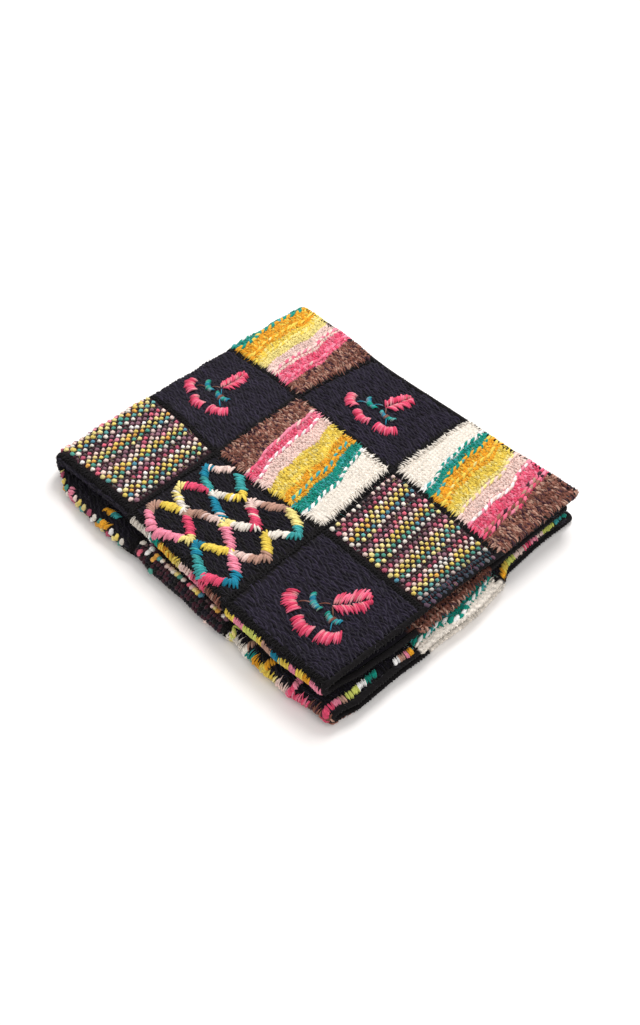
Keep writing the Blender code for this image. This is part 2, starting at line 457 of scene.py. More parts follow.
@dataclass(frozen=True)
class Cloth:
    """The folded cloth: where each place of the flat cloth lies, and how thick it is there.

    A place is (along, across): metres from the join beside the large bend and from the join
    beside the small bends, positive on the upper pair of layers and on the outer layers.
    """

    patch_length: float = 0.217
    patch_width: float = 0.170
    patches_from_fold: int = 3
    join_half_width: float = 0.009
    thickness: float = 0.0115
    layer_pitch: float = 0.0188
    pressed: float = 0.76
    join_below_large_bend: float = 0.012
    bend_slide: float = 0.110
    base_half: float = 0.0034
    join_loft: float = 0.50
    shoulder_loft: float = 0.88
    rim_start: float = 0.004
    rim_quarter: float = 0.0144
    rim_reach: float = 0.0122
    rim_turn: float = 2.6
    drawn_in_from: float = 2.3
    lower_out_from: float = 1.5
    ripple_height: float = 0.00045
    seen_past_large_bend: float = 0.078
    seen_past_small_bend: float = 0.045
    lower_bend_seen: tuple[float, float] = (-0.080, 0.030)
    lower_hems_seen: float = 0.038
    bulge_middle: float = -1.5
    bulge_half: float = 0.55
    bulge_seen: float = 0.075
    other_hems_seen: float = 0.024
    centre: tuple[float, float, float] = (0.3012, 0.2358, 0.0)
    height_columns: tuple[float, ...] = (0.0, 1.5, 2.5, 3.0)
    height_share: tuple = (
        # (patches_along, at_0, at_1_5, at_2_5, at_3)
        (0.0, 0.76, 0.76, 0.76, 0.76),
        (0.6, 0.97, 1.00, 0.97, 0.93),
        (1.5, 1.00, 1.00, 0.98, 0.95),
        (2.6, 0.99, 1.00, 0.96, 0.94),
        (3.0, 0.93, 0.97, 0.90, 0.88),
    )
    wander_columns: tuple[float, ...] = (0.0, 1.0, 2.0, 3.0)
    wander_along: tuple = (
        # (patches_along, at_0, at_1, at_2, at_3)
        (0.0, 0.000, -0.003, -0.001, 0.003),
        (1.0, -0.001, -0.003, -0.007, 0.012),
        (2.0, 0.006, 0.005, -0.005, -0.003),
        (3.0, -0.003, 0.000, -0.002, 0.003),
    )
    wander_across: tuple = (
        # (patches_along, at_0, at_1, at_2, at_3)
        (0.0, -0.006, 0.008, 0.008, 0.006),
        (1.0, 0.000, -0.008, 0.002, -0.010),
        (2.0, -0.004, 0.009, -0.003, -0.005),
        (3.0, 0.006, 0.011, -0.010, 0.005),
    )
    first_in_at_hems: tuple = (
        # (patches_across, in_along)
        (0.0, 0.0180),
        (0.35, 0.0165),
        (0.65, 0.0145),
        (1.0, 0.0122),
        (1.35, 0.0088),
        (1.65, 0.0050),
        (2.0, 0.0000),
        (3.0, 0.0000),
    )
    second_in_at_hems: tuple = (
        # (patches_across, in_along)
        (0.0, 0.0180),
        (0.35, 0.0080),
        (0.65, 0.0030),
        (1.0, 0.0010),
        (1.35, 0.0000),
        (3.0, 0.0000),
    )
    lower_out_at_hems: tuple = (
        # (patches_across, out_along)
        (0.0, -0.021),
        (0.2, -0.0135),
        (0.5, -0.0125),
        (1.0, -0.0075),
        (1.5, -0.002),
        (1.88, -0.007),
        (2.06, -0.020),
        (2.5, -0.0215),
        (3.0, -0.017),
    )
    lower_out_at_bends: tuple = (
        # (patches_along, out_across)
        (-0.1, 0.010),
        (0.2, 0.026),
        (0.5, 0.029),
        (0.85, 0.026),
        (1.0, 0.021),
        (1.15, 0.023),
        (1.6, 0.020),
        (1.88, 0.019),
        (2.02, 0.012),
        (2.15, 0.016),
        (2.5, 0.016),
        (2.8, 0.006),
        (3.0, 0.000),
    )

    @property
    def patch_size(self) -> np.ndarray:
        """A patch's length and width."""
        return np.array([self.patch_length, self.patch_width])

    @property
    def half_size(self) -> np.ndarray:
        """Metres from the folds to the hems, along and across."""
        return self.patches_from_fold * self.patch_size - self.join_half_width

    @property
    def small_bend(self) -> float:
        """Radius of a small bend, to the middle of the thickness."""
        return self.layer_pitch / 2

    @property
    def bend_to_flat(self) -> float:
        """Cloth from the middle of the large bend to where it lies flat."""
        return 3 * self.layer_pitch / 2 * self.pressed * QUARTER

    @property
    def join_above_small_bend(self) -> float:
        """Cloth from the middle of a small bend up to the join beside it."""
        return self.small_bend * QUARTER * 2 / 3

    def _from_grid(self, table: tuple, columns: tuple, along: np.ndarray,
                   across: np.ndarray) -> np.ndarray:
        """Read a table of rows along and columns across at each place, turning smoothly.

        Args:
            table: The table's rows.
            columns: What the table's columns stand for.
            along: Places along the flat cloth.
            across: Places across the flat cloth.

        Returns:
            The values.
        """
        grid = np.array(table)
        row, row_share = share_between(grid[:, 0], along)
        column, column_share = share_between(np.array(columns), across)
        values = grid[:, 1:]
        before = values[row, column]
        before = before + (values[row, column + 1] - before) * column_share
        after = values[row + 1, column]
        after = after + (values[row + 1, column + 1] - after) * column_share
        return before + (after - before) * row_share

    def fold(self, along: np.ndarray, across: np.ndarray) -> np.ndarray:
        """Where the middle of the cloth's thickness lies.

        Across, the cloth turns half a circle at -Y from the outer layer to the inner one.
        Along, that pair of layers turns half a circle at -X, pressed flatter there. The
        stack's height, the joins' wander and the lower layers' place come from the tables.

        Args:
            along: Places along the flat cloth.
            across: Places across it, one for each place along.

        Returns:
            The points, in metres.
        """
        swing = (along - self.join_below_large_bend) / self.bend_to_flat * QUARTER
        swing = np.clip(swing, -QUARTER, QUARTER)
        turn = (across + self.join_above_small_bend) / self.small_bend
        turn = np.clip(turn, -QUARTER, QUARTER)
        offset = self.small_bend * np.sin(turn)
        past_bend = np.abs(across + self.join_above_small_bend) - self.small_bend * QUARTER
        y = np.maximum(past_bend, 0.0) - self.small_bend * np.cos(turn)

        reach = self.layer_pitch + offset
        past_bend = np.abs(along - self.join_below_large_bend) - self.bend_to_flat
        x = np.maximum(past_bend, 0.0) - self.pressed * reach * np.cos(swing)
        floor_layer = self.thickness / 2
        z = (3 * self.layer_pitch + self.thickness) / 2 + reach * np.sin(swing)

        patches_along = x / self.patch_length
        patches_across = y / self.patch_width
        share = self._from_grid(self.height_share, self.height_columns,
                                patches_along, patches_across)
        z = floor_layer + (z - floor_layer) * share
        upper = (1.0 + np.sin(swing)) / 2
        x = x + upper * self._from_grid(self.wander_along, self.wander_columns,
                                        patches_along, patches_across)
        y = y + upper * self._from_grid(self.wander_across, self.wander_columns,
                                        patches_along, patches_across)
        first = from_table(self.first_in_at_hems, patches_across)
        second = from_table(self.second_in_at_hems, patches_across)
        drawn_in = second + (first - second) * (1.0 + np.sin(turn)) / 2
        x = x - upper * smooth(2.0 * (patches_along - self.drawn_in_from)) * drawn_in
        near_hem = smooth(patches_along - self.lower_out_from)
        hems = from_table(self.lower_out_at_hems, patches_across)
        x = x + (1.0 - upper) * near_hem * hems
        lower = smooth(0.5 - (along - self.join_below_large_bend) / self.bend_slide)
        lower = lower * (1.0 - smooth(patches_across / self.patches_from_fold))
        y = y - lower * from_table(self.lower_out_at_bends, patches_along)
        return np.stack([x, y, z], axis=-1) - np.array(self.centre)

    def facing(self, along: np.ndarray, across: np.ndarray) -> np.ndarray:
        """The right side's direction at each place: the cross product of the two slopes.

        Args:
            along: Places along the flat cloth.
            across: Places across the flat cloth.

        Returns:
            Unit directions.
        """
        step = 2e-4
        slope_along = self.fold(along + step, across) - self.fold(along - step, across)
        slope_across = self.fold(along, across + step) - self.fold(along, across - step)
        return unit(np.cross(slope_along, slope_across))

    def from_join(self, along: np.ndarray, across: np.ndarray) -> np.ndarray:
        """How far each place is from the nearest join, along and across, in two columns."""
        places = np.stack(np.broadcast_arrays(along, across), axis=-1)
        return np.abs(places - self.patch_size * np.round(places / self.patch_size))

    def loft(self, along: np.ndarray, across: np.ndarray) -> np.ndarray:
        """Share of the full thickness: drawn in at the joins, full between them.

        Args:
            along: Places along the flat cloth.
            across: Places across the flat cloth.

        Returns:
            Shares from 0 to 1.
        """
        away = self.from_join(along, across) / self.join_half_width
        shoulder = self.shoulder_loft + (1.0 - self.shoulder_loft) * smooth(away / 3)
        dip = self.join_loft + (shoulder - self.join_loft) * smooth(away)
        return dip.min(axis=-1)

    def ripple(self, along: np.ndarray, across: np.ndarray) -> np.ndarray:
        """Soft unevenness of the cloth in metres: three long sines crossed with each other.

        Args:
            along: Places along the flat cloth.
            across: Places across the flat cloth.

        Returns:
            Metres.
        """
        waves = (np.sin(along * 61.0 + 1.3 * np.sin(across * 34.0))
                 + np.sin(across * 83.0 + 0.9 * np.sin(along * 47.0) + 1.0)
                 + np.sin((along + across) * 118.0 + 2.0))
        return self.ripple_height * waves

    def lay(self, places: np.ndarray) -> np.ndarray:
        """Carry places above the flat cloth on to the folded cloth.

        A place past a hem goes over the rim: it follows an oval whose angle grows with its
        distance past the rim's start, outwards with the sine and down with the cosine.

        Args:
            places: Triples of along, across and rise above the ground cloth's surface.

        Returns:
            The points: the fold's point plus its facing times the height there.
        """
        flat, rise = places[..., :2], places[..., 2]
        limit = self.half_size - self.rim_start
        inside = np.clip(flat, -limit, limit)
        angle = np.minimum(np.abs(flat - inside) / self.rim_quarter * QUARTER,
                           self.rim_turn)
        sine = np.sin(angle)
        sine = sine / np.maximum(np.linalg.norm(sine, axis=-1, keepdims=True), 1.0)
        out = np.sign(flat) * sine * (self.rim_reach + rise[..., None])
        full = self.base_half * self.loft(inside[..., 0], inside[..., 1]) + rise
        height = full * np.cos(angle).min(axis=-1) + self.ripple(flat[..., 0], flat[..., 1])
        return self.lift(inside + out, height)

    def lift(self, flat: np.ndarray, height: np.ndarray) -> np.ndarray:
        """Points at a height over the middle of the folded cloth, kept off the floor.

        Args:
            flat: Places on the flat cloth.
            height: Heights over the middle of the cloth.

        Returns:
            The points, in metres.
        """
        along, across = flat[..., 0], flat[..., 1]
        points = self.fold(along, across) + self.facing(along, across) * height[..., None]
        points[..., 2] = np.maximum(points[..., 2], FLOOR_CLEARANCE)
        return points

    def shows(self, along: np.ndarray, across: np.ndarray) -> np.ndarray:
        """Whether a stitch at each place is on a part of the cloth that can be seen.

        Args:
            along: Places along the flat cloth.
            across: Places across the flat cloth.

        Returns:
            True where it can be seen.
        """
        top = (along > -self.seen_past_large_bend) & (across > -self.seen_past_small_bend)
        low, high = self.lower_bend_seen
        lower_bend = (along <= 0.0) & (across > low) & (across < high)
        from_hem = (self.half_size - np.abs(np.stack([along, across], axis=-1))).min(axis=-1)
        lower_hems = (along < 0.0) & (across < 0.0) & (from_hem < self.lower_hems_seen)
        off_bulge = np.abs(across / self.patch_width - self.bulge_middle)
        bulge = (along < 0.0) & (off_bulge < self.bulge_half) & (from_hem < self.bulge_seen)
        others = (across < 0.0) & (from_hem < self.other_hems_seen)
        return top | lower_bend | lower_hems | bulge | others


@dataclass(frozen=True)
class Patch:
    """One patch of the cloth and its own places, from its -X side and its -Y side."""

    along: int
    across: int
    kind: Knit
    cloth: Cloth

    @property
    def index(self) -> tuple[int, int]:
        """The patch's place in the layout."""
        return self.along, self.across

    @property
    def on_top(self) -> bool:
        """Whether the patch lies on top of the stack."""
        return self.along >= 0 and self.across >= 0

    def span(self, margin: float, hem_margin: float) -> tuple[np.ndarray, np.ndarray]:
        """Where stitches start on the patch, and how far they reach, along and across.

        Args:
            margin: How far they stay from a join.
            hem_margin: How far they stay from the line of a join that would be at a hem.

        Returns:
            The start and the reach, in metres.
        """
        start = np.array([margin, NEAR_FOLD.get(self.index, margin)])
        past = PAST_HEM.get(self.index, hem_margin)
        far = np.array([past if self.along in AT_HEMS else margin,
                        hem_margin if self.across in AT_HEMS else margin])
        return start, self.cloth.patch_size - start - far

    def carry(self, strands: Strands, all_of_them: bool = False) -> Strands:
        """Move strands from the patch's own places to the flat cloth.

        Args:
            strands: Strands in the patch's own places.
            all_of_them: Whether to keep also those on parts that can't be seen.

        Returns:
            The moved strands.
        """
        paths = strands.paths.copy()
        for axis, index in enumerate(self.index):
            steps, sign = (index, 1.0) if index >= 0 else (-index - 1, -1.0)
            paths[..., axis] = sign * (steps * self.cloth.patch_size[axis] + paths[..., axis])
        middle = paths[:, paths.shape[1] // 2]
        keep = self.cloth.shows(middle[:, 0], middle[:, 1]) | all_of_them
        return Strands(paths[keep], strands.radii[keep], strands.colours[keep],
                       strands.flatness)


def all_patches(cloth: Cloth) -> list[Patch]:
    """Every patch of the cloth, in the layout's order."""
    return [Patch(along, across - 3, Knit(letter), cloth)
            for along, kinds in LAYOUT for across, letter in enumerate(kinds)]


@dataclass
class Strands:
    """Strands of yarn with the same number of rings: paths, radii and colours of each ring."""

    paths: np.ndarray
    radii: np.ndarray
    colours: np.ndarray
    flatness: float = 1.0


class Bundle(NamedTuple):
    """Strands for one piece, and how they become tubes."""

    piece: str
    strands: Strands
    sides: int
    tip: float = 0.6


@dataclass(frozen=True)
class Form:
    """A stitch from the side: its rise and its share of thickness, at even steps along it."""

    arch: tuple[float, ...]
    taper: tuple[float, ...]


BEAD = Form((-0.0005, 0.0014, -0.0005), (0.80, 1.0, 0.80))
TOOTH = Form((0.0014, 0.0026, 0.0014, -0.0004), (1.0, 1.0, 0.75, 0.35))
CHAIN = Form((-0.0026, 0.0002, 0.0008, 0.0002, -0.0026), (0.7, 1.0, 1.08, 1.0, 0.7))
KNIT = Form((-0.0010, 0.0010, 0.0011, -0.0012), (0.75, 1.0, 1.0, 0.6))
ROPE = Form((-0.0014, 0.0003, 0.0010, 0.0003, -0.0014), (0.6, 0.95, 1.0, 0.95, 0.6))
PILE = Form((-0.0012, 0.0010, -0.0008), (0.8, 1.0, 0.5))
BRUSHED = Form((-0.0015, 0.0005, 0.0005, -0.0015), (0.55, 1.08, 1.08, 0.55))
SATIN = Form((-0.0030, 0.0002, 0.0010, 0.0002, -0.0030), (0.55, 1.0, 1.08, 1.0, 0.55))
CROCHET = Form((0.0002, 0.0018, 0.0012, -0.0014), (0.75, 1.0, 0.95, 0.6))
BINDING = Form((-0.0010, 0.0008, 0.0014, 0.0014, 0.0008, 0.0), (0.7, 1.0, 1.05, 1.05, 1.0, 0.7))
FIBRE = Form((0.0, 1.0), (1.0, 0.5))


def sew(middle: np.ndarray, heading: np.ndarray | float, reach: np.ndarray | float,
        form: Form, radius: np.ndarray | float, colours: np.ndarray,
        rise: np.ndarray | float = 0.0, swell: np.ndarray | float = 1.0,
        flatness: float = 1.0) -> Strands:
    """Strands of one form through their middle points.

    A ring lies at the middle plus the reach times a share from -0.5 to 0.5 along the
    heading. Its rise is the given one plus the form's arch times the swell.

    Args:
        middle: A flat point for each strand.
        heading: Angle of each strand from the patch's length.
        reach: Length of each strand.
        form: The side view.
        radius: Radius of each strand at its thickest.
        colours: A colour for each strand, or one for each of its rings.
        rise: Height of each strand.
        swell: What the form's arch is multiplied by.
        flatness: Thickness upwards, as a share of the thickness sideways.

    Returns:
        The strands.
    """
    number, rings = len(middle), len(form.arch)
    heading, reach, radius, rise, swell = (
        np.broadcast_to(value, (number,)) for value in (heading, reach, radius, rise, swell))
    run = np.stack([np.cos(heading), np.sin(heading)], axis=-1) * reach[:, None]
    flat = middle[:, None] + np.linspace(-0.5, 0.5, rings)[:, None] * run[:, None]
    height = rise[:, None] + swell[:, None] * np.array(form.arch)
    if colours.ndim == 2:
        colours = np.repeat(colours[:, None], rings, axis=1)
    return Strands(np.concatenate([flat, height[..., None]], axis=-1),
                   radius[:, None] * np.array(form.taper), colours, flatness)


def grid_of(columns: int, rows: int) -> tuple[np.ndarray, np.ndarray]:
    """The column and the row of every cell of a grid, as flat arrays."""
    column, row = np.meshgrid(np.arange(columns), np.arange(rows), indexing="ij")
    return column.ravel(), row.ravel()


def dyed(yarns: list[Yarn] | tuple[Yarn, ...]) -> np.ndarray:
    """The yarns' linear colours, one row each."""
    return np.array([yarn.linear for yarn in yarns])


def varied(colours: np.ndarray, draw: np.random.Generator, amount: float) -> np.ndarray:
    """The colours, each made a little lighter or darker at random."""
    return colours * (1.0 + amount * draw.uniform(-1.0, 1.0, (len(colours), 1)))


@dataclass
class MeshArrays:
    """Points, faces, colours and twist of a mesh that is put together from arrays."""

    points: list[np.ndarray] = field(default_factory=list)
    colours: list[np.ndarray] = field(default_factory=list)
    quads: list[np.ndarray] = field(default_factory=list)
    quad_twists: list[np.ndarray] = field(default_factory=list)
    triangles: list[np.ndarray] = field(default_factory=list)
    triangle_twists: list[np.ndarray] = field(default_factory=list)
    count: int = 0

    def add_strands(self, strands: Strands, cloth: Cloth, sides: int, tip: float = 0.6,
                    off_cloth: bool = False) -> None:
        """Add each strand as a closed tube, laid on the cloth.

        A ring's point is the path's point plus the radius times (cosine of the angle times
        the sideways direction, plus sine of the angle times the upward one). A pole closes
        each end, tip times the radius beyond the last ring.

        Args:
            strands: The strands.
            cloth: The cloth they lie on.
            sides: Points in a ring.
            tip: How far a pole stands out, as a share of the ring's radius.
            off_cloth: Whether their rise is counted from the middle of the cloth.
        """
        paths, radii = strands.paths, strands.radii[..., None]
        number, rings = paths.shape[:2]
        if number == 0:
            return
        ahead = unit(np.gradient(paths, axis=1))
        sideways = unit(np.cross(ahead, np.array(NEARLY_UP)))
        upward = np.cross(sideways, ahead)
        angle = np.arange(sides) * (2 * math.pi / sides)
        ring = (np.cos(angle)[:, None] * sideways[:, :, None, :]
                + strands.flatness * np.sin(angle)[:, None] * upward[:, :, None, :])
        body = paths[:, :, None, :] + radii[:, :, None, :] * ring
        first = paths[:, 0] - ahead[:, 0] * radii[:, 0] * tip
        last = paths[:, -1] + ahead[:, -1] * radii[:, -1] * tip
        places = np.concatenate(
            [body.reshape(number, -1, 3), first[:, None], last[:, None]], axis=1).reshape(-1, 3)
        self.points.append(cloth.lift(places[:, :2], places[:, 2]) if off_cloth
                           else cloth.lay(places))
        shades = np.concatenate([np.repeat(strands.colours, sides, axis=1),
                                 strands.colours[:, :1], strands.colours[:, -1:]], axis=1)
        self.colours.append(shades.reshape(-1, 3))

        row, column = grid_of(rings - 1, sides)
        after = (column + 1) % sides
        quad = np.stack([row * sides + column, (row + 1) * sides + column,
                         (row + 1) * sides + after, row * sides + after], axis=-1)
        side = np.arange(sides)
        round_side = (side + 1) % sides
        start, end = rings * sides, rings * sides + 1
        last_ring = (rings - 1) * sides
        triangle = np.concatenate([
            np.stack([np.full(sides, start), side, round_side], axis=-1),
            np.stack([np.full(sides, end), last_ring + round_side, last_ring + side], axis=-1)])
        offsets = self.count + np.arange(number)[:, None, None] * (rings * sides + 2)
        self.quads.append((quad[None] + offsets).reshape(-1, 4))
        self.triangles.append((triangle[None] + offsets).reshape(-1, 3))

        steps = np.linalg.norm(np.diff(paths, axis=1), axis=-1)
        length = np.concatenate([np.zeros((number, 1)), np.cumsum(steps, axis=1)], axis=1)
        turn = np.stack([column, column, column + 1, column + 1], axis=-1) / sides * PLIES
        way = length[:, np.stack([row, row + 1, row + 1, row], axis=-1)]
        self.quad_twists.append(
            np.stack([turn[None] + way * TURNS_PER_METRE, way], axis=-1).reshape(-1, 2))
        turn = np.stack([side + 0.5, side, side + 1], axis=-1) / sides * PLIES
        turn = np.concatenate([turn, turn[:, [0, 2, 1]]])
        way = np.repeat(length[:, [0, -1]], 3 * sides, axis=1).reshape(number, 2 * sides, 3)
        self.triangle_twists.append(
            np.stack([turn[None] + way * TURNS_PER_METRE, way], axis=-1).reshape(-1, 2))
        self.count += number * (rings * sides + 2)

    def build(self, name: str, finish: WoolFinish) -> bpy.types.Object:
        """Put the arrays into one mesh object with its finish.

        Args:
            name: The piece's name.
            finish: Its finish.

        Returns:
            The new object, linked to the scene.
        """
        points = np.concatenate(self.points)
        quads = np.concatenate(self.quads)
        triangles = np.concatenate(self.triangles) if self.triangles else np.empty((0, 3), int)
        mesh = bpy.data.meshes.new(name)
        mesh.vertices.add(len(points))
        mesh.vertices.foreach_set("co", points.astype(np.float32).ravel())
        corners = np.concatenate([quads.ravel(), triangles.ravel()]).astype(np.int32)
        mesh.loops.add(len(corners))
        mesh.loops.foreach_set("vertex_index", corners)
        starts = np.concatenate([np.arange(len(quads)) * 4,
                                 len(quads) * 4 + np.arange(len(triangles)) * 3])
        mesh.polygons.add(len(starts))
        mesh.polygons.foreach_set("loop_start", starts.astype(np.int32))
        mesh.polygons.foreach_set("use_smooth", np.ones(len(starts), dtype=bool))
        mesh.update(calc_edges=True)
        layer = mesh.color_attributes.new(COLOUR_LAYER, "FLOAT_COLOR", "POINT")
        colours = np.concatenate(self.colours)
        layer.data.foreach_set(
            "color", np.c_[colours, np.ones(len(colours))].astype(np.float32).ravel())
        if self.quad_twists:
            twists = np.concatenate(self.quad_twists + self.triangle_twists)
            mesh.uv_layers.new(name=TWIST_LAYER).data.foreach_set(
                "uv", twists.astype(np.float32).ravel())
        mesh.validate()
        mesh.materials.append(finish.material())
        piece = bpy.data.objects.new(name, mesh)
        bpy.context.scene.collection.objects.link(piece)
        return piece


def row_below(patch: Patch) -> bool:
    """Whether the patch is a woven one on the lower layers, where only a strip shows under the upper
    layers' bend and is painted dark as shade.
    """
    return patch.kind is Knit.WOVEN and patch.across < 0


@dataclass
class KnitCloth:
    """The cloth itself: one closed sheet in the folds, under all the stitches."""

    cloth: Cloth
    fine: float = 0.0065
    coarse: float = 0.0150
    # What the ground's yarn colour is multiplied by: painted shade in the gaps between the stitches,
    # lessened under light stripes
    under: float = 0.55
    painted_shade_stripes: float = 0.80
    fine_from: float = -0.080
    floor_from: float = 0.02
    join_share: float = 0.8
    no_join_past: float = 2.7
    finish: WoolFinish = WoolFinish("knit_ground", sheen=0.04, mottle=0.45,
                                    mottle_scale=420.0, grain_depth=0.0006)

    def _places(self, far: float) -> np.ndarray:
        """Grid places from one hem to the other, fine where the cloth shows.

        Args:
            far: How far the hem is from the fold.

        Returns:
            The places, rising.
        """
        coarse = np.arange(-far, self.fine_from, self.coarse)
        steps = int((far - self.fine_from) / self.fine) + 1
        fine = np.linspace(self.fine_from, far, steps)
        return np.concatenate([coarse, fine])

    def _ground(self, along: np.ndarray, across: np.ndarray) -> np.ndarray:
        """The ground's colour: the patch's yarn darkened as painted shade, and black in the joins.

        Args:
            along: Places along the flat cloth.
            across: Places across the flat cloth.

        Returns:
            A linear colour for each place.
        """
        cloth = self.cloth
        plain = {Knit.WOVEN: Yarn.PLUM, Knit.NET: Yarn.NIGHT, Knit.PLAIN: Yarn.NAVY}
        colours = np.empty(along.shape + (3,))
        column = np.floor(along / cloth.patch_length).astype(int)
        row = np.floor(across / cloth.patch_width).astype(int)
        for patch in all_patches(cloth):
            inside = (column == patch.along) & (row == patch.across)
            if patch.kind is Knit.STRIPED:
                places = np.stack([np.abs(along[inside]), np.abs(across[inside])], axis=-1)
                places = np.mod(places, cloth.patch_size)
                stripes = stripe_colours(patch, places)
                # Painted shade: the ground under the stripes is darkened, less so under light yarns
                light = smooth(stripes.min(axis=-1, keepdims=True) * 2.0)
                under = self.painted_shade_stripes + (1.0 - self.painted_shade_stripes) * light
                colours[inside] = stripes * under
            else:
                # Woven patches under the bend take the darker NIGHT ground: painted shade
                yarn = Yarn.NIGHT if row_below(patch) else plain[patch.kind]
                # Painted shade: the other patches' ground is their yarn darkened
                colours[inside] = yarn.linear * self.under
        from_join = cloth.from_join(along, across).min(axis=-1)
        in_join = from_join < cloth.join_half_width * self.join_share
        in_join = in_join & ~((np.abs(along) > self.no_join_past * cloth.patch_length) & (row == -2))
        return np.where(in_join[..., None], Yarn.BLACK.linear, colours)

    def build(self) -> bpy.types.Object:
        """Make the sheet: its right side and its wrong side as grids, joined by a rim.

        A side's point is the fold's point plus its facing times half the thickness, up on
        the right side and down on the wrong side.

        Returns:
            The piece.
        """
        cloth = self.cloth
        far = cloth.half_size
        along, across = np.meshgrid(self._places(far[0]), self._places(far[1]), indexing="ij")
        rows, columns = along.shape
        flat = np.stack([along, across], axis=-1)
        on_floor = (along < cloth.join_below_large_bend - cloth.bend_to_flat) & (
            across > self.floor_from)
        half = cloth.base_half * cloth.loft(along, across)
        right = np.where(on_floor, cloth.thickness / 2, half + cloth.ripple(along, across))
        arrays = MeshArrays()
        arrays.points += [cloth.lift(flat, right).reshape(-1, 3),
                          cloth.lift(flat, -half).reshape(-1, 3)]
        arrays.colours += [self._ground(along, across).reshape(-1, 3)] * 2
        index = np.arange(rows * columns).reshape(rows, columns)
        faces = np.stack([index[:-1, :-1], index[1:, :-1], index[1:, 1:], index[:-1, 1:]],
                         axis=-1).reshape(-1, 4)
        rim = np.concatenate([index[:-1, 0], index[-1, :-1], index[:0:-1, -1], index[0, :0:-1]])
        after = np.roll(rim, -1)
        shift = rows * columns
        wall = np.stack([rim, rim + shift, after + shift, after], axis=-1)
        arrays.quads += [faces, faces[:, ::-1] + shift, wall]
        return arrays.build("knit_cloth", self.finish)


@dataclass
class PatchWork:
    """Stitches on the patches: what every kind of such work shares.

    Each kind names its pieces, and says which strands of a patch go into which piece.
    Work that is off the cloth counts its rise from the middle of the cloth, and is kept also
    where it doesn't show.
    """

    cloth: Cloth
    names: tuple[str, ...] = ()
    kinds: tuple[Knit, ...] = tuple(Knit)
    seed: int = 0
    off_cloth: bool = False
    finish: WoolFinish = WoolFinish("wool")

    def bundles(self, patch: Patch, draw: np.random.Generator) -> Iterator[Bundle]:
        """The strands of one patch in the patch's own places, in bundles."""
        raise NotImplementedError

    def build(self, patches: list[Patch]) -> list[bpy.types.Object]:
        """Make the work on every patch of its kinds, one mesh for each name.

        Args:
            patches: All the patches. Each has a seed of its own, one more than the last.

        Returns:
            The new pieces.
        """
        arrays = {name: MeshArrays() for name in self.names}
        for number, patch in enumerate(patches):
            if patch.kind in self.kinds:
                draw = np.random.default_rng(self.seed + number)
                for bundle in self.bundles(patch, draw):
                    strands = patch.carry(bundle.strands, self.off_cloth)
                    arrays[bundle.piece].add_strands(strands, self.cloth, bundle.sides,
                                                     bundle.tip, self.off_cloth)
        return [mesh.build(name, self.finish) for name, mesh in arrays.items()]


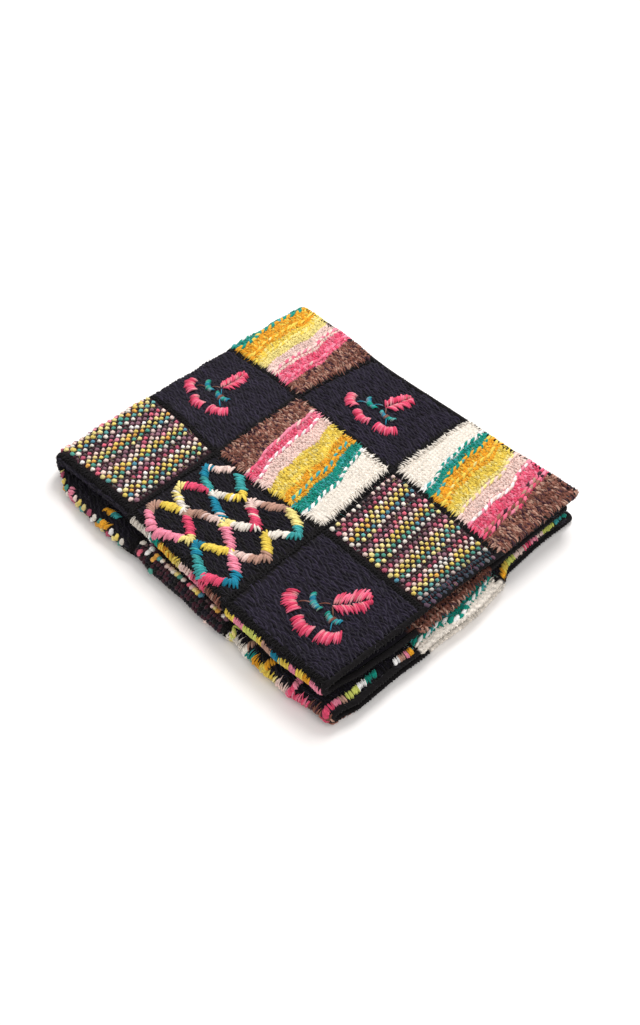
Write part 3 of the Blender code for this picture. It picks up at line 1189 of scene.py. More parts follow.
@dataclass
class WovenPatches(PatchWork):
    """Bead stitches in a checkerboard, bright ones over a dark ground."""

    names: tuple[str, ...] = ("woven_beads",)
    kinds: tuple[Knit, ...] = (Knit.WOVEN,)
    course: float = 0.0067
    stitch: float = 0.0063
    margin: float = 0.0072
    hem_margin: float = 0.0030
    bead: float = 0.00325
    dark_bead: float = 0.00250
    paleness: float = 0.10
    bright_row: float = 0.029
    in_bright_row: float = 0.85
    sparse_size: float = 1.30
    jitter: float = 0.0004
    slipped: float = 0.06
    odd_beads: float = 0.25
    stray_beads: float = 0.05
    stretch: float = 1.3
    bright_rise: float = 0.0010
    dark_rise: float = -0.0004
    # Painted shade: beads near the +X hem of the patches at along 2 are blended towards a dark blue,
    # where the cloth turns down over the hem
    hem_painted_shade: float = 0.82
    hem_painted_shade_from: float = 4.0
    hem_painted_shade_over: float = 3.0
    hem_painted_shade_blue: float = 0.20
    first_rows_size: float = 1.15
    turn: float = 0.9
    turn_spread: float = 0.3
    sizes: tuple[float, float] = (0.9, 1.12)
    shades: float = 0.15
    light_from: float = 0.2
    seed: int = 40
    finish: WoolFinish = WoolFinish("bead_wool", mottle=0.2, ply_depth=0.0003, ply_shade=0.12)

    def bundles(self, patch: Patch, draw: np.random.Generator) -> Iterator[Bundle]:
        """The stitches of one patch: each a short arch, turned a little at random.

        Args:
            patch: The patch.
            draw: Where the small differences are drawn from.

        Yields:
            The strands and the piece that they belong to.
        """
        start, reach = patch.span(self.margin, self.hem_margin)
        columns, rows = round(reach[0] / self.course), round(reach[1] / self.stitch)
        column, row = grid_of(columns, rows)
        number = len(column)
        bright = (column + row) % 2 == 0
        cell = np.stack([column, row], axis=-1) + 0.5
        middle = start + cell * reach / (columns, rows) + draw.normal(0.0, self.jitter, (number, 2))
        course = (column + (draw.uniform(size=number) < self.slipped)) % len(BEAD_COURSES)
        picks = draw.integers(0, 4, (columns, rows // 4 + 1))[column, row // 4]
        odd = draw.uniform(size=number) < self.odd_beads
        picks = np.where(odd, draw.integers(0, 4, number), picks)
        chart = np.array([dyed(yarns) for yarns in BEAD_COURSES])
        colours = chart[course, picks]
        # Painted shade: under the bend most beads take the dark ground's colours, and only one row stays
        # mostly bright
        if row_below(patch):
            bright = draw.uniform(size=number) < np.where(
                row == round(self.bright_row / self.stitch), self.in_bright_row, self.stray_beads)
        light = bright & (colours.max(axis=-1) > self.light_from)
        colours = colours + (Yarn.CREAM.linear - colours) * self.paleness
        ground = dyed(BEAD_GROUND)[draw.integers(0, 4, number)]
        colours = np.where(bright[:, None], colours, ground)
        # Painted shade: beads near the +X hem are blended towards a dark blue
        if patch.along == 2:
            hem_painted_shade = smooth((cell[:, 0] - columns + self.hem_painted_shade_from) / self.hem_painted_shade_over)[:, None]
            colours = colours + (Yarn.BLUE.linear * self.hem_painted_shade_blue - colours) * hem_painted_shade * self.hem_painted_shade
        radius = np.where(light, self.bead, self.dark_bead)
        radius = radius * draw.uniform(*self.sizes, number)
        radius = radius * (self.sparse_size if row_below(patch) else 1.0)
        radius = radius * np.where(light & (row < 2), self.first_rows_size, 1.0)
        yield Bundle("woven_beads", sew(
            middle, draw.normal(self.turn, self.turn_spread, number), radius * self.stretch, BEAD, radius,
            varied(colours, draw, self.shades), np.where(light, self.bright_rise, self.dark_rise),
            flatness=0.9), 6)


def leaning(share: np.ndarray, height: np.ndarray, leans: tuple[float, float]) -> np.ndarray:
    """How far a course leans at a share along the patch and a share up its width.

    Args:
        share: Shares of the way along the patch.
        height: Shares of the way up the patch's width.
        leans: The lean at both ends.

    Returns:
        Shares of the patch's length.
    """
    wave = sum(size * np.sin(up * height + along * share + start)
               for size, up, along, start in COURSE_WAVES)
    lean = leans[0] + (leans[1] - leans[0]) * share
    return (lean * (0.5 - height) + wave) * (1.0 - (2.0 * share - 1.0) ** 6)


def on_courses(patch: Patch, share: np.ndarray, height: np.ndarray) -> np.ndarray:
    """Places on a striped patch: its start plus shares of its reach, moved by the lean.

    Args:
        patch: A striped patch.
        share: Shares of the way along it, counted in courses.
        height: Shares of the way up its width.

    Returns:
        The patch's own places.
    """
    start, reach = patch.span(*STRIPE_MARGINS)
    lean = STRIPES.get(patch.index, USUAL_STRIPES)[1]
    return start + np.stack([share + leaning(share, height, lean), height], axis=-1) * reach


def stripe_colours(patch: Patch, places: np.ndarray) -> np.ndarray:
    """The main yarn's colour at the patch's own places.

    Args:
        patch: The patch.
        places: The patch's own places.

    Returns:
        A linear colour for each place.
    """
    start, reach = patch.span(*STRIPE_MARGINS)
    share = np.clip((places - start) / reach, 0.0, 1.0)
    (main, _), lean = STRIPES.get(patch.index, USUAL_STRIPES)
    straight = share[..., 0] - leaning(share[..., 0], share[..., 1], lean)
    return dyed(main)[np.clip((straight * len(main)).astype(int), 0, len(main) - 1)]


def speckled(colours: np.ndarray, draw: np.random.Generator) -> np.ndarray:
    """The colours, with the uneven yarns' lighter and darker plies drawn apart.

    Args:
        colours: A colour for each stitch.
        draw: Where the small differences are drawn from.

    Returns:
        The mixed colours.
    """
    pick = draw.integers(0, 5, len(colours))
    mixed = colours
    for yarn, plies in PLIES_OF.items():
        same = np.isclose(colours, yarn.linear).all(axis=-1)
        mixed = np.where(same[:, None], dyed(plies)[pick], mixed)
    return mixed


@dataclass
class StripedPatches(PatchWork):
    """Knit courses in changing colours, twisted courses raised over them, and teeth."""

    names: tuple[str, ...] = ("striped_top", "striped_ropes", "striped_sides")
    kinds: tuple[Knit, ...] = (Knit.STRIPED,)
    column: float = 0.0031
    yarn_radius: float = 0.00185
    felted_size: float = 1.55
    rope_pitch: float = 0.0076
    rope_radius: float = 0.00240
    rope_rise: float = 0.0019
    tooth_pitch: float = 0.0029
    tooth_radius: float = 0.00130
    tooth_lengths: tuple[float, float] = (0.0070, 0.0150)
    tooth_inside: float = 0.0035
    tooth_rise: float = 0.0010
    pointed: float = 1.5
    pile_rises: tuple[float, float] = (0.0012, 0.0030)
    pile_density: float = 26000.0
    pile_length: float = 0.0095
    pile_radius: float = 0.00065
    stitch_places: tuple[float, float] = (0.10, 0.12)
    stitch_lean: float = 0.32
    lean_spread: float = 0.12
    course_shades: float = 0.07
    stitch_sizes: tuple[float, float] = (0.88, 1.15)
    stitch_shades: float = 0.11
    stitch_reaches: tuple[float, float] = (1.35, 1.75)
    felted_rise: float = -0.0005
    rise_spread: float = 0.0003
    felted_swell: float = 0.4
    rope_places: tuple[float, float] = (0.06, 0.08)
    rope_lean: float = 0.26
    rope_lean_spread: float = 0.10
    rope_reaches: tuple[float, float] = (1.9, 2.3)
    rope_sizes: tuple[float, float] = (0.85, 1.15)
    rope_shades: float = 0.10
    pile_place: float = 0.0012
    pile_turn: float = 0.4
    pile_reaches: tuple[float, float] = (0.6, 1.25)
    pile_sizes: tuple[float, float] = (0.7, 1.2)
    pile_shades: float = 0.14
    tooth_place: float = 0.0009
    tooth_turn: float = 0.30
    tooth_sizes: tuple[float, float] = (0.8, 1.25)
    tooth_shades: float = 0.16
    seed: int = 90
    finish: WoolFinish = WoolFinish("striped_wool", mottle=0.22, ply_depth=0.0004,
                                    ply_shade=0.16)

    def _stitches(self, patch: Patch, draw: np.random.Generator) -> Strands:
        """A row of narrow stitches side by side in every course, leaning by turns.

        Args:
            patch: The patch.
            draw: Where the small differences are drawn from.

        Returns:
            The stitches.
        """
        main = STRIPES.get(patch.index, USUAL_STRIPES)[0][0]
        reach = patch.span(*STRIPE_MARGINS)[1]
        rows, columns = len(main), round(reach[1] / self.column)
        course, column = grid_of(rows, columns)
        number = len(course)
        share = (course + 0.5 + draw.normal(0.0, self.stitch_places[0], number)) / rows
        height = (column + 0.5 + draw.normal(0.0, self.stitch_places[1], number)) / columns
        middle = on_courses(patch, share, height)
        heading = np.where(column % 2 == 0, self.stitch_lean, -self.stitch_lean)
        heading = heading + draw.normal(0.0, self.lean_spread, number)
        shade = 1.0 + self.course_shades * draw.uniform(-1.0, 1.0, (rows, 1))[course]
        felted = np.array([yarn is Yarn.CREAM for yarn in main])[course]
        size = np.where(felted, self.felted_size, draw.uniform(*self.stitch_sizes, number))
        colours = varied(speckled(dyed(main)[course], draw) * shade, draw, self.stitch_shades)
        colours = np.where(felted[:, None], Yarn.CREAM.linear, colours)
        return sew(middle, heading,
                   reach[0] / rows * draw.uniform(*self.stitch_reaches, number), KNIT,
                   self.yarn_radius * size, colours,
                   np.where(felted, self.felted_rise,
                            draw.normal(0.0, self.rise_spread, number)),
                   np.where(felted, self.felted_swell, 1.0), flatness=0.9)

    def _ropes(self, patch: Patch, draw: np.random.Generator) -> Strands:
        """The twisted courses: stitches of two yarns by turns, lying along the course.

        Args:
            patch: The patch.
            draw: Where the small differences are drawn from.

        Returns:
            The stitches.
        """
        main, second = STRIPES.get(patch.index, USUAL_STRIPES)[0]
        reach = patch.span(*STRIPE_MARGINS)[1]
        twisted = np.nonzero([one is not other for one, other in zip(main, second)])[0]
        stitches = round(reach[1] / self.rope_pitch)
        rope, stitch = grid_of(len(twisted), stitches)
        course, number = twisted[rope], len(rope)
        share = (course + 0.5 + draw.normal(0.0, self.rope_places[0], number)) / len(main)
        height = (stitch + 0.5 + draw.normal(0.0, self.rope_places[1], number)) / stitches
        middle = on_courses(patch, share, height)
        by_turns = (stitch % 2 == 0)[:, None]
        colours = np.where(by_turns, dyed(main)[course], dyed(second)[course])
        colours = speckled(colours, draw)
        return sew(middle, QUARTER + self.rope_lean + draw.normal(0.0, self.rope_lean_spread, number),
                   self.rope_pitch * draw.uniform(*self.rope_reaches, number), ROPE,
                   self.rope_radius * draw.uniform(*self.rope_sizes, number),
                   varied(colours, draw, self.rope_shades), self.rope_rise)

    def _pile(self, patch: Patch, draw: np.random.Generator) -> Strands:
        """Fine strands brushed up across the courses, in the colour that they stand on.

        Args:
            patch: The patch.
            draw: Where the small differences are drawn from.

        Returns:
            The strands.
        """
        start, reach = patch.span(*STRIPE_MARGINS)
        number = int(self.pile_density * reach[0] * reach[1])
        middle = start + draw.uniform(0.0, 1.0, (number, 2)) * reach
        place = middle + draw.normal(0.0, self.pile_place, (number, 2))
        colours = stripe_colours(patch, place)
        keep = ~np.isclose(colours, Yarn.CREAM.linear).all(axis=-1)
        middle, colours, number = middle[keep], speckled(colours[keep], draw), keep.sum()
        return sew(middle, draw.normal(0.0, self.pile_turn, number),
                   self.pile_length * draw.uniform(*self.pile_reaches, number), PILE,
                   self.pile_radius * draw.uniform(*self.pile_sizes, number),
                   varied(colours, draw, self.pile_shades), draw.uniform(*self.pile_rises, number))

    def _teeth(self, patch: Patch, draw: np.random.Generator) -> list[Strands]:
        """Pointed tufts that stand out over the joins on all four sides.

        Args:
            patch: The patch.
            draw: Where the small differences are drawn from.

        Returns:
            The tufts, side by side.
        """
        bundles = []
        start, reach = patch.span(*STRIPE_MARGINS)
        for axis in (0, 1):
            number = int(reach[1 - axis] / self.tooth_pitch)
            for far, out in ((0.0, -1.0), (1.0, 1.0)):
                middle = np.empty((number, 2))
                even = (np.arange(number) + 0.5) / number * reach[1 - axis]
                middle[:, 1 - axis] = start[1 - axis] + even + draw.normal(
                    0.0, self.tooth_place, number)
                length = draw.uniform(*self.tooth_lengths, number)
                middle[:, axis] = (start[axis] + far * reach[axis]
                                   + out * (length / 2 - self.tooth_inside))
                heading = axis * QUARTER + (0.0 if out > 0 else math.pi)
                inner = middle.copy()
                inner[:, axis] = start[axis] + (0.02 + 0.96 * far) * reach[axis]
                colours = speckled(stripe_colours(patch, inner), draw)
                colours = varied(colours, draw, self.tooth_shades)
                turned = heading + draw.normal(0.0, self.tooth_turn, number)
                radius = self.tooth_radius * draw.uniform(*self.tooth_sizes, number)
                bundles.append(sew(middle, turned, length, TOOTH, radius, colours,
                                   self.tooth_rise))
        return bundles

    def bundles(self, patch: Patch, draw: np.random.Generator) -> Iterator[Bundle]:
        """The courses, and over them the ropes, the teeth and, on top, the pile.

        Args:
            patch: The patch.
            draw: Where the small differences are drawn from.

        Yields:
            The strands and the piece that they belong to.
        """
        courses, over = (("striped_top", "striped_ropes") if patch.on_top
                         else ("striped_sides", "striped_sides"))
        yield Bundle(courses, self._stitches(patch, draw), 4)
        yield Bundle(over, self._ropes(patch, draw), 6)
        for strands in self._teeth(patch, draw):
            yield Bundle(over, strands, 4, self.pointed)
        if patch.on_top:
            yield Bundle(over, self._pile(patch, draw), 3, self.pointed)


@dataclass
class WrongSide(PatchWork):
    """Stitches on the wrong side, beside the hems of the layers where it lies upwards."""

    names: tuple[str, ...] = ("wrong_side",)
    off_cloth: bool = True
    rows: int = 4
    row_pitch: float = 0.0056
    inside_hem: float = 0.0075
    stitch: float = 0.0072
    yarn_radius: float = 0.00215
    jitter: float = 0.0005
    slant: float = 0.5
    slant_spread: float = 0.15
    overlap: float = 1.5
    sizes: tuple[float, float] = (0.85, 1.15)
    # Painted shade: the wrong side's stitches are drawn darker than their yarn
    shade: float = 0.85
    shades: float = 0.2
    seed: int = 1200
    finish: WoolFinish = WoolFinish("wrong_side_wool", mottle=0.22, ply_depth=0.0003,
                                    ply_shade=0.15)

    def _beside_hem(self, patch: Patch, axis: int, draw: np.random.Generator) -> Strands:
        """Rows of stitches that slant by turns, beside the hem at the far end of an axis.

        Args:
            patch: The patch.
            axis: 0 for the hem at the end of the cloth's length, 1 for the one at its width's end.
            draw: Where the small differences are drawn from.

        Returns:
            The stitches.
        """
        size = self.cloth.patch_size
        row, column = grid_of(self.rows, round(size[1 - axis] / self.stitch))
        number = len(row)
        middle = np.empty((number, 2))
        hem = self.cloth.half_size[axis] - 2 * size[axis]
        over = OVER_HEM.get(patch.index, 0.0) * (1 - axis)
        middle[:, axis] = hem - self.inside_hem + over - row * self.row_pitch
        middle[:, 1 - axis] = (column + 0.5) / (column.max() + 1) * size[1 - axis]
        if patch.kind is Knit.STRIPED:
            colours = speckled(stripe_colours(patch, middle), draw)
        else:
            yarns = {Knit.WOVEN: skeins("PLUM NIGHT"), Knit.NET: skeins("NIGHT BLACK"),
                     Knit.PLAIN: skeins("NAVY NIGHT")}
            colours = dyed(yarns[patch.kind])[draw.integers(0, 2, number)]
        slant = np.where(column % 2 == 0, self.slant, -self.slant)
        slant = slant + draw.normal(0.0, self.slant_spread, number)
        # The colours are darkened by the painted shade
        return sew(middle + draw.normal(0.0, self.jitter, (number, 2)), axis * QUARTER + slant,
                   self.row_pitch * self.overlap, KNIT,
                   self.yarn_radius * draw.uniform(*self.sizes, number),
                   varied(colours * self.shade, draw, self.shades), -self.cloth.base_half, -1.0)

    def bundles(self, patch: Patch, draw: np.random.Generator) -> Iterator[Bundle]:
        """The stitches beside each hem of a patch whose wrong side lies upwards.

        Args:
            patch: The patch.
            draw: Where the small differences are drawn from.

        Yields:
            The strands and the piece that they belong to.
        """
        if (patch.along < 0) != (patch.across < 0):
            for axis, index in enumerate(patch.index):
                if index in AT_HEMS:
                    yield Bundle("wrong_side", self._beside_hem(patch, axis, draw), 3)


@dataclass
class NetPatches(PatchWork):
    """Raised chain lines in a loose net over a dark ground."""

    names: tuple[str, ...] = ("net_chains",)
    kinds: tuple[Knit, ...] = (Knit.NET,)
    pitch: float = 0.0039
    stitch_length: float = 0.0165
    yarn_radius: float = 0.00215
    rise: float = 0.0034
    slant: float = 1.12
    size_at_sides: float = 0.72
    jitter: float = 0.0005
    look_ahead: float = 0.010
    slant_spread: float = 0.12
    yarn_change: float = 0.15
    reaches: tuple[float, float] = (0.74, 1.2)
    sizes: tuple[float, float] = (0.85, 1.15)
    shades: float = 0.18
    seed: int = 300
    finish: WoolFinish = WoolFinish("net_wool", mottle=0.22, ply_depth=0.0004, ply_shade=0.15)

    def _line(self, points: tuple, yarns: tuple, size: float,
              draw: np.random.Generator) -> Strands:
        """The stitches along one chain line.

        The line is resampled at even steps. Each stitch lies across it, turned by slant
        from the line's own direction, and arches over it.

        Args:
            points: The line's corners, in shares of the patch.
            yarns: Its yarns in order.
            size: What the stitches' size is multiplied by.
            draw: Where its small differences are drawn from.

        Returns:
            The stitches.
        """
        corners = np.array(points) * self.cloth.patch_size
        steps = np.linalg.norm(np.diff(corners, axis=0), axis=-1)
        length = np.concatenate([[0.0], np.cumsum(steps)])
        number = max(2, int(length[-1] / self.pitch / size))
        at = (np.arange(number) + 0.5) / number * length[-1]

        def on_line(way: np.ndarray) -> np.ndarray:
            """Points of the line at distances from its start."""
            return np.stack([np.interp(way, length, corners[:, axis]) for axis in (0, 1)],
                            axis=-1)

        middle = on_line(at) + draw.normal(0.0, self.jitter, (number, 2))
        run = on_line(at + self.look_ahead) - on_line(at - self.look_ahead)
        heading = np.arctan2(run[:, 1], run[:, 0]) + self.slant
        heading = heading + draw.normal(0.0, self.slant_spread, number)
        place = np.clip(at / length[-1] * len(yarns) + draw.normal(0.0, self.yarn_change, number),
                        0, len(yarns) - 1).astype(int)
        return sew(middle, heading,
                   size * self.stitch_length * draw.uniform(*self.reaches, number),
                   CHAIN, size * self.yarn_radius * draw.uniform(*self.sizes, number),
                   varied(dyed(yarns)[place], draw, self.shades), self.rise * size)

    def bundles(self, patch: Patch, draw: np.random.Generator) -> Iterator[Bundle]:
        """The stitches of each of the patch's chain lines.

        Args:
            patch: The patch.
            draw: Where the small differences are drawn from.

        Yields:
            The strands and the piece that they belong to.
        """
        size = 1.0 if patch.on_top else self.size_at_sides
        for line in SIDE_LINES.get(patch.index, NET_LINES):
            yield Bundle("net_chains", self._line(*line, size, draw), 5)


@dataclass
class BrushedGround(PatchWork):
    """Brushed strands of the plain patches and of the net's ground."""

    names: tuple[str, ...] = ("brushed_top", "brushed_sides")
    kinds: tuple[Knit, ...] = (Knit.PLAIN, Knit.NET)
    margin: float = 0.0036
    row_pitch: float = 0.0033
    strand_length: float = 0.0170
    strand_pitch: float = 0.78
    yarn_radius: float = 0.00150
    rises: tuple[float, float] = (-0.0005, 0.0007)
    row_jitter: float = 0.0006
    column_jitter: float = 0.16
    turn: float = -0.1
    turn_spread: float = 0.17
    reaches: tuple[float, float] = (0.7, 1.25)
    sizes: tuple[float, float] = (0.8, 1.2)
    shades: float = 0.35
    seed: int = 700
    finish: WoolFinish = WoolFinish("brushed_wool", sheen=0.06, gloss=0.12, mottle=0.35,
                                    mottle_scale=330.0, ply_depth=0.0003, ply_shade=0.12)

    def bundles(self, patch: Patch, draw: np.random.Generator) -> Iterator[Bundle]:
        """Flat strands in rows along the patch, each turned a little and half sunk.

        Args:
            patch: The patch.
            draw: Where the small differences are drawn from.

        Yields:
            The strands and the piece that they belong to.
        """
        start, reach = patch.span(self.margin, self.margin)
        row, column = grid_of(int(reach[1] / self.row_pitch),
                              int(reach[0] / (self.strand_length * self.strand_pitch)))
        number = len(row)
        x = (column + 0.5 + 0.5 * (row % 2) + draw.normal(0.0, self.column_jitter, number)) / (
            column.max() + 1.5) * reach[0]
        y = (row + 0.5) * self.row_pitch + draw.normal(0.0, self.row_jitter, number)
        yarns = skeins("NAVY NAVY NIGHT")
        if patch.kind is Knit.NET:
            yarns = skeins("NIGHT NIGHT BLACK")
        colours = dyed(yarns)[draw.integers(0, 3, number)]
        strands = sew(start + np.stack([x, y], axis=-1),
                      draw.normal(self.turn, self.turn_spread, number),
                      self.strand_length * draw.uniform(*self.reaches, number), BRUSHED,
                      self.yarn_radius * draw.uniform(*self.sizes, number),
                      varied(colours, draw, self.shades), draw.uniform(*self.rises, number),
                      flatness=0.8)
        yield (Bundle("brushed_top", strands, 4) if patch.on_top
               else Bundle("brushed_sides", strands, 3))


@dataclass
class JoiningBands:
    """Black crochet that joins the patches: slanted loops on both sides of a chain."""

    cloth: Cloth
    pitch: float = 0.0049
    reach: float = 0.0060
    yarn_radius: float = 0.00150
    row_off: float = 0.0021
    row_turn: float = 1.15
    chain_turn: float = 0.15
    place_spread: float = 0.0006
    jitter: float = 0.0004
    shades: float = 0.3
    turn_spread: float = 0.15
    reaches: tuple[float, float] = (0.85, 1.2)
    sizes: tuple[float, float] = (0.85, 1.15)
    rise_spread: float = 0.0003
    chain_overlap: float = 1.5
    lengthwise_seed: int = 20
    crosswise_seed: int = 30
    finish: WoolFinish = WoolFinish("joining_wool", sheen=0.04, gloss=0.12, mottle=0.3,
                                    ply_depth=0.0004, ply_shade=0.25)

    def _band(self, lengthwise: bool, place: float, seed: int) -> list[Strands]:
        """The loops of one join.

        Args:
            lengthwise: Whether the join runs along the cloth rather than across it.
            place: Where it lies, in metres from the fold.
            seed: Seed of its small differences.

        Returns:
            Its two rows of slanted loops and its middle chain, those that show.
        """
        draw = np.random.default_rng(seed)
        cloth, axis = self.cloth, 0 if lengthwise else 1
        far = cloth.half_size[axis]
        number = int(2 * far / self.pitch)
        turned = axis * QUARTER
        strands = []
        for off, turn, reach in ((self.row_off, self.row_turn, self.reach),
                                 (-self.row_off, -self.row_turn, self.reach),
                                 (0.0, self.chain_turn, self.pitch * self.chain_overlap)):
            middle = np.empty((number, 2))
            middle[:, axis] = np.linspace(-far, far, number)
            middle[:, axis] += draw.normal(0.0, self.place_spread, number)
            middle[:, 1 - axis] = place + off * (1 if lengthwise else -1)
            middle += draw.normal(0.0, self.jitter, (number, 2))
            keep = cloth.shows(middle[:, 0], middle[:, 1])
            colours = varied(np.repeat(dyed([Yarn.BLACK]), number, axis=0), draw, self.shades)
            band = sew(middle, turned + turn + draw.normal(0.0, self.turn_spread, number),
                       reach * draw.uniform(*self.reaches, number), CROCHET,
                       self.yarn_radius * draw.uniform(*self.sizes, number), colours,
                       draw.normal(0.0, self.rise_spread, number))
            strands.append(Strands(band.paths[keep], band.radii[keep], band.colours[keep]))
        return strands

    def build(self) -> bpy.types.Object:
        """Make every join's loops as one mesh.

        Returns:
            The piece.
        """
        arrays = MeshArrays()
        last = self.cloth.patches_from_fold
        for step in range(1 - last, last):
            length, width = step * self.cloth.patch_size
            for strands in self._band(True, width, self.lengthwise_seed + step) + self._band(
                    False, length, self.crosswise_seed + step):
                arrays.add_strands(strands, self.cloth, 4)
        return arrays.build("joining_crochet", self.finish)


@dataclass
class Edging:
    """The crocheted edging: a core all round the hems, and loops bound over it."""

    cloth: Cloth
    pitch: float = 0.0050
    core_out: float = 0.0058
    core_radius: float = 0.0046
    loop_out: float = 0.0095
    loop_reach: float = 0.0200
    yarn_radius: float = 0.00190
    loop_lean: float = 0.25
    lean_spread: float = 0.10
    reaches: tuple[float, float] = (0.9, 1.1)
    sizes: tuple[float, float] = (0.85, 1.2)
    shades: float = 0.3
    rise_spread: float = 0.0003
    corner_fan: tuple[float, ...] = (0.3, 0.6, 0.9, 1.2)
    seed: int = 11
    finish: WoolFinish = WoolFinish("edging_wool", sheen=0.04, gloss=0.12, mottle=0.3,
                                    ply_depth=0.0004, ply_shade=0.25)

    def _route(self) -> tuple[np.ndarray, np.ndarray]:
        """Points along the hems and the angle out of the cloth at each.

        Four straight sides are walked in turn, and each corner is a fan about the hem's
        corner.

        Returns:
            The points and the angles.
        """
        far_u, far_v = self.cloth.half_size
        corners = np.array([(far_u, -far_v), (far_u, far_v), (-far_u, far_v), (-far_u, -far_v)])
        points, outs = [], []
        for number in range(4):
            start, end = corners[number], corners[(number + 1) % 4]
            steps = int(np.linalg.norm(end - start) / self.pitch)
            out = number * QUARTER
            points.append(start + (end - start) * np.linspace(0.0, 1.0, steps)[:, None])
            outs.append(np.full(steps, out))
            points.append(np.repeat(end[None], 4, axis=0))
            outs.append(out + np.array(self.corner_fan))
        return np.concatenate(points), np.concatenate(outs)

    def build(self) -> bpy.types.Object:
        """Make the core and the loops as one mesh.

        Returns:
            The piece.
        """
        draw = np.random.default_rng(self.seed)
        points, outs = self._route()
        number = len(points)
        away = np.stack([np.cos(outs), np.sin(outs)], axis=-1)
        patch = np.floor(points / self.cloth.patch_size + 1e-3)
        at_stripes = (np.abs(patch[:, 0] + 0.5) > 2) & (
            (patch[:, 1] == -2) | ((patch[:, 0] < 0) & (patch[:, 1] == 1)))
        stripe = np.where(patch[:, :1] > 0, Yarn.BROWN.linear, Yarn.CREAM.linear)
        colours = np.where(at_stripes[:, None], stripe, Yarn.BLACK.linear)
        core = np.c_[points + away * self.core_out, np.zeros(number)]
        once_more = np.append(np.arange(number), 0)
        arrays = MeshArrays()
        arrays.add_strands(Strands(core[None, once_more],
                                   np.full((1, number + 1), self.core_radius),
                                   colours[None, once_more]),
                           self.cloth, 8, off_cloth=True)
        loops = sew(points + away * self.loop_out,
                    outs + draw.normal(self.loop_lean, self.lean_spread, number),
                    self.loop_reach * draw.uniform(*self.reaches, number), BINDING,
                    self.yarn_radius * draw.uniform(*self.sizes, number),
                    varied(colours, draw, self.shades),
                    draw.normal(0.0, self.rise_spread, number))
        arrays.add_strands(loops, self.cloth, 4)
        return arrays.build("edging_crochet", self.finish)


